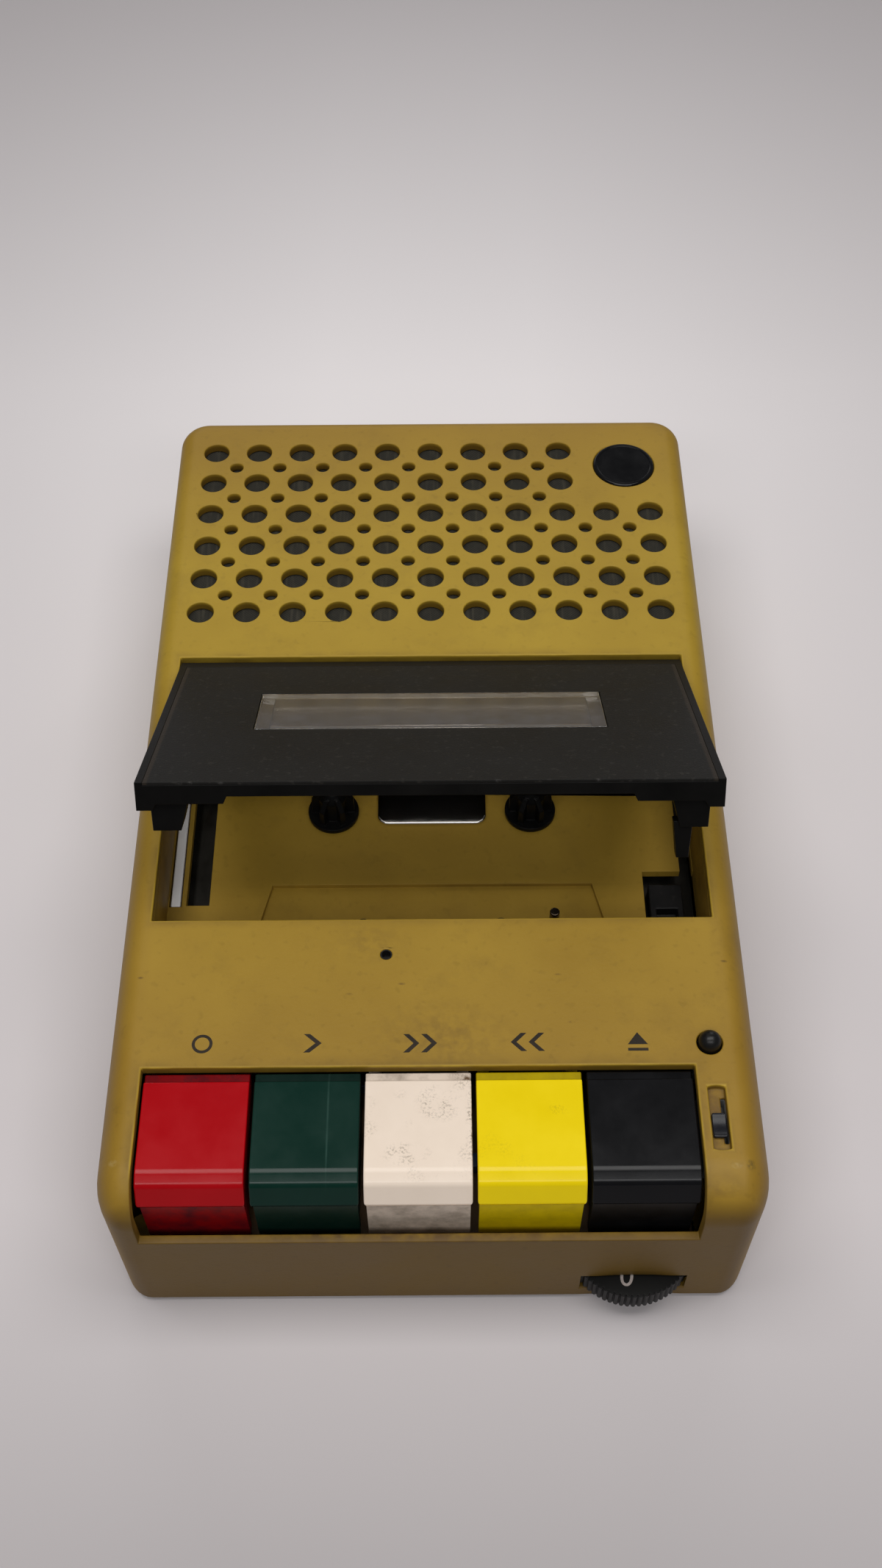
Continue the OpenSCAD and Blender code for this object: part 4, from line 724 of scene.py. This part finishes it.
def key_finish(name, light, dark, dirt, dirt_and_shade_colour, film_and_shade, step_shade, clusters, scratches):
    # Glossy coloured plastic with clusters of dark specks on top, a dull film of dirt below the lip and at
    # the back, which below the lip is also painted shade, and painted shade on the back step
    finish, tree, surface, place = new_finish(name, Specular_IOR_Level=0.22)
    grain = use_group(tree, grain_group, Place=place, Grain=1100, Blotch=120)
    tone = mix_colour(tree, grain["Tone"], dark, light)
    dots = spread(tree, noise(tree, place, 2200, 4, 0.7), 0.5, 0.58, 0, 1)
    patch = spread(tree, noise(tree, place, 150, 3), 0.55, 0.8, 0, 0.7)
    for middle, size in clusters:
        spot = use_group(tree, spot_group, Place=place, Middle=middle, Spread=size, Break=420)["Mask"]
        patch = math_node(tree, "MAXIMUM", patch, spot)
    split = add_node(tree, "SeparateXYZ", {}, {0: place})
    patch = math_node(tree, "MULTIPLY", patch, spread(tree, split["Y"], *nose_fade, 0, dirt))
    tone = mix_colour(tree, math_node(tree, "MULTIPLY", dots, patch), tone, dirt_and_shade_colour)
    for middle, size, breaks, colour in scratches:
        line = use_group(tree, spot_group, Place=place, Middle=middle, Spread=size, Break=breaks)["Mask"]
        tone = mix_colour(tree, line, tone, colour)
    below = spread(tree, split["Z"], *lip_fade, 1, 0)
    behind = spread(tree, split["Y"], *step_fade, 0, 1)
    dull = math_node(tree, "MAXIMUM", below, behind)
    cloud = spread(tree, noise(tree, place, 260, 5, 0.65), 0.4, 0.7, 0.15, 1)
    cloud = math_node(tree, "MULTIPLY", cloud, dull)
    # Below the lip the film is dirt and also painted shade
    tone = mix_colour(tree, math_node(tree, "MULTIPLY", cloud, film_and_shade), tone, dirt_and_shade_colour)
    # Painted shade on the back step
    tone = shade(tree, behind, tone, [step_shade] * 3)
    tree.links.new(tone, surface.inputs["Base Color"])
    gloss = spread(tree, grain["Tone"], 0, 1, 0.16, 0.24)
    gloss = math_node(tree, "ADD", gloss, math_node(tree, "MULTIPLY", below, 0.25))
    tree.links.new(gloss, surface.inputs["Roughness"])
    give_relief(tree, surface, noise(tree, place, 130, 1), 0.05, 0.3 * mm)
    return finish


def key_shell(node, finish):
    # Only the outer edges are rounded: the hollow inside keeps its sharp corners
    piece = merged_copy(node)
    low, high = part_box(node)
    middle = (low.x + high.x) / 2
    bpy.ops.object.mode_set(mode="EDIT")
    bpy.ops.mesh.select_mode(type="EDGE")
    bpy.ops.mesh.select_all(action="DESELECT")
    for edge in bmesh.from_edit_mesh(piece.data).edges:
        spot = (edge.verts[0].co + edge.verts[1].co) / 2
        outer = abs(spot.x - middle) > key_side or spot.y < lip_front or spot.z > step_top
        on_cap = spot.z > lip_low and spot.y < cap_back
        edge.select_set(outer and on_cap and edge.calc_face_angle_signed(0) > outer_fold)
    bpy.ops.mesh.bevel(offset=key_round, segments=3, affect="EDGES", clamp_overlap=False)
    bpy.ops.object.mode_set(mode="OBJECT")
    finish_piece(piece, body_of_node[node], finish)
    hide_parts(node)


# Each key's slot, light and dark tone, share of specks, dirt colour (also of the painted shade), film of dirt
# and painted shade, and painted shade of its back step
red = ("key_red", (0.375, 0.0015, 0.005), (0.345, 0.001, 0.004), 0.15, (0.10, 0.005, 0.012), 0.95, 0.5)
green = ("key_green", (0.0028, 0.024, 0.0165), (0.002, 0.020, 0.0135), 0.15, (0.02, 0.045, 0.036), 0.3, 0.5)
cream = ("key_cream", (0.83, 0.705, 0.59), (0.79, 0.665, 0.55), 0.95, (0.16, 0.125, 0.085), 0.6, 0.85)
yellow = ("key_yellow", (0.83, 0.625, 0.002), (0.79, 0.59, 0.002), 0.5, (0.28, 0.19, 0.012), 0.3, 0.5)
black = ("key_black", (0.0045, 0.0045, 0.0055), (0.0035, 0.0035, 0.004), 0.12, (0.04, 0.04, 0.044), 0.15, 0.5)
key_colours = {"record": red, "play": green, "forward": cream, "rewind": yellow, "eject": black}
cream_clusters = [((1.2 * mm, -80.2 * mm, key_high.z), (5 * mm, 4 * mm, 2 * mm)),
                  ((-4.8 * mm, -90.1 * mm, key_high.z), (5 * mm, 2.5 * mm, 2 * mm)),
                  ((7.2 * mm, -86 * mm, key_high.z), (1.4 * mm, 16 * mm, 9 * mm))]
yellow_clusters = [((23.2 * mm, -81.6 * mm, key_high.z), (3 * mm, 1.2 * mm, 2 * mm))]
key_clusters = {"forward": cream_clusters, "rewind": yellow_clusters}
green_scratch = ((-19.2 * mm, -83.5 * mm, key_high.z), (0.26 * mm, 14 * mm, 9 * mm), 40, (0.05, 0.11, 0.09))
cream_edge = ((7.45 * mm, -85 * mm, 43.6 * mm), (0.55 * mm, 15 * mm, 5 * mm), 1100, (0.16, 0.075, 0.012))
cream_corner = ((6.4 * mm, -74.9 * mm, 43.3 * mm), (1.3 * mm, 0.9 * mm, 1.4 * mm), 900, (0.10, 0.045, 0.01))
key_scratches = {"play": [green_scratch], "forward": [cream_edge, cream_corner]}
for key, (slot, *looks) in key_colours.items():
    finish = key_finish(slot + "_gloss", *looks, key_clusters.get(key, []), key_scratches.get(key, []))
    key_shell("key_" + key, finish)

# Controls beside the keys
# A dark glossy slide knob in its slot, a domed push button, and the ribbed volume wheel in the front wall.
knob_black = grained_finish("knob_gloss", (0.006, 0.0065, 0.009), (0.012, 0.0125, 0.016), 1500, 300,
                            (0.2, 0.32), 0.25)
eased("slide_knob", 0.3, knob_black, steps=3)
eased("push_button", 0.2, black_moulded, steps=3)
wheel_black = grained_finish("wheel_plastic", (0.004, 0.004, 0.004), (0.008, 0.0078, 0.0075), 1800, 90,
                             0.42, 0.12)
eased("volume_wheel", 0.15, wheel_black)

# Wheel numerals
# White numbers printed round the top face of the volume wheel, from 0 at the front.
number_white = grained_finish("number_ink", (0.30, 0.25, 0.23), (0.52, 0.46, 0.43), 2500, 600, 0.5, 0.25)
wheel_low, wheel_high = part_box("volume_wheel")
wheel_x = (wheel_low.x + wheel_high.x) / 2
wheel_y = (wheel_low.y + wheel_high.y) / 2
wheel_thick = 5.4 * mm
number_z = wheel_low.z + wheel_thick + 0.01 * mm
number_r = 8.9 * mm
number_size = 5.6 * mm
ink_thick = 0.015 * mm
number_step = math.radians(30)
first_number = math.radians(-99)
bpy.ops.object.select_all(action="DESELECT")
numbers = []
for count in range(10):
    turn = first_number - count * number_step
    bpy.ops.object.text_add(location=(0, 0, 0))
    number = bpy.context.object
    number.data.body = str(count)
    number.data.size = number_size
    number.data.align_x = "CENTER"
    number.data.align_y = "CENTER"
    number.data.extrude = ink_thick
    bpy.ops.object.convert(target="MESH")
    number_x = wheel_x + number_r * math.cos(turn)
    number_y = wheel_y + number_r * math.sin(turn)
    number.location = (number_x, number_y, number_z)
    number.rotation_euler = (0, 0, turn + math.radians(90))
    bpy.ops.object.transform_apply(location=True, rotation=True, scale=False)
    numbers.append(number)
for number in numbers:
    number.select_set(True)
bpy.ops.object.join()
wheel_numbers = bpy.context.object
wheel_numbers.name = "wheel_numbers"
finish_piece(wheel_numbers, "volume_wheel", number_white, smooth=30)
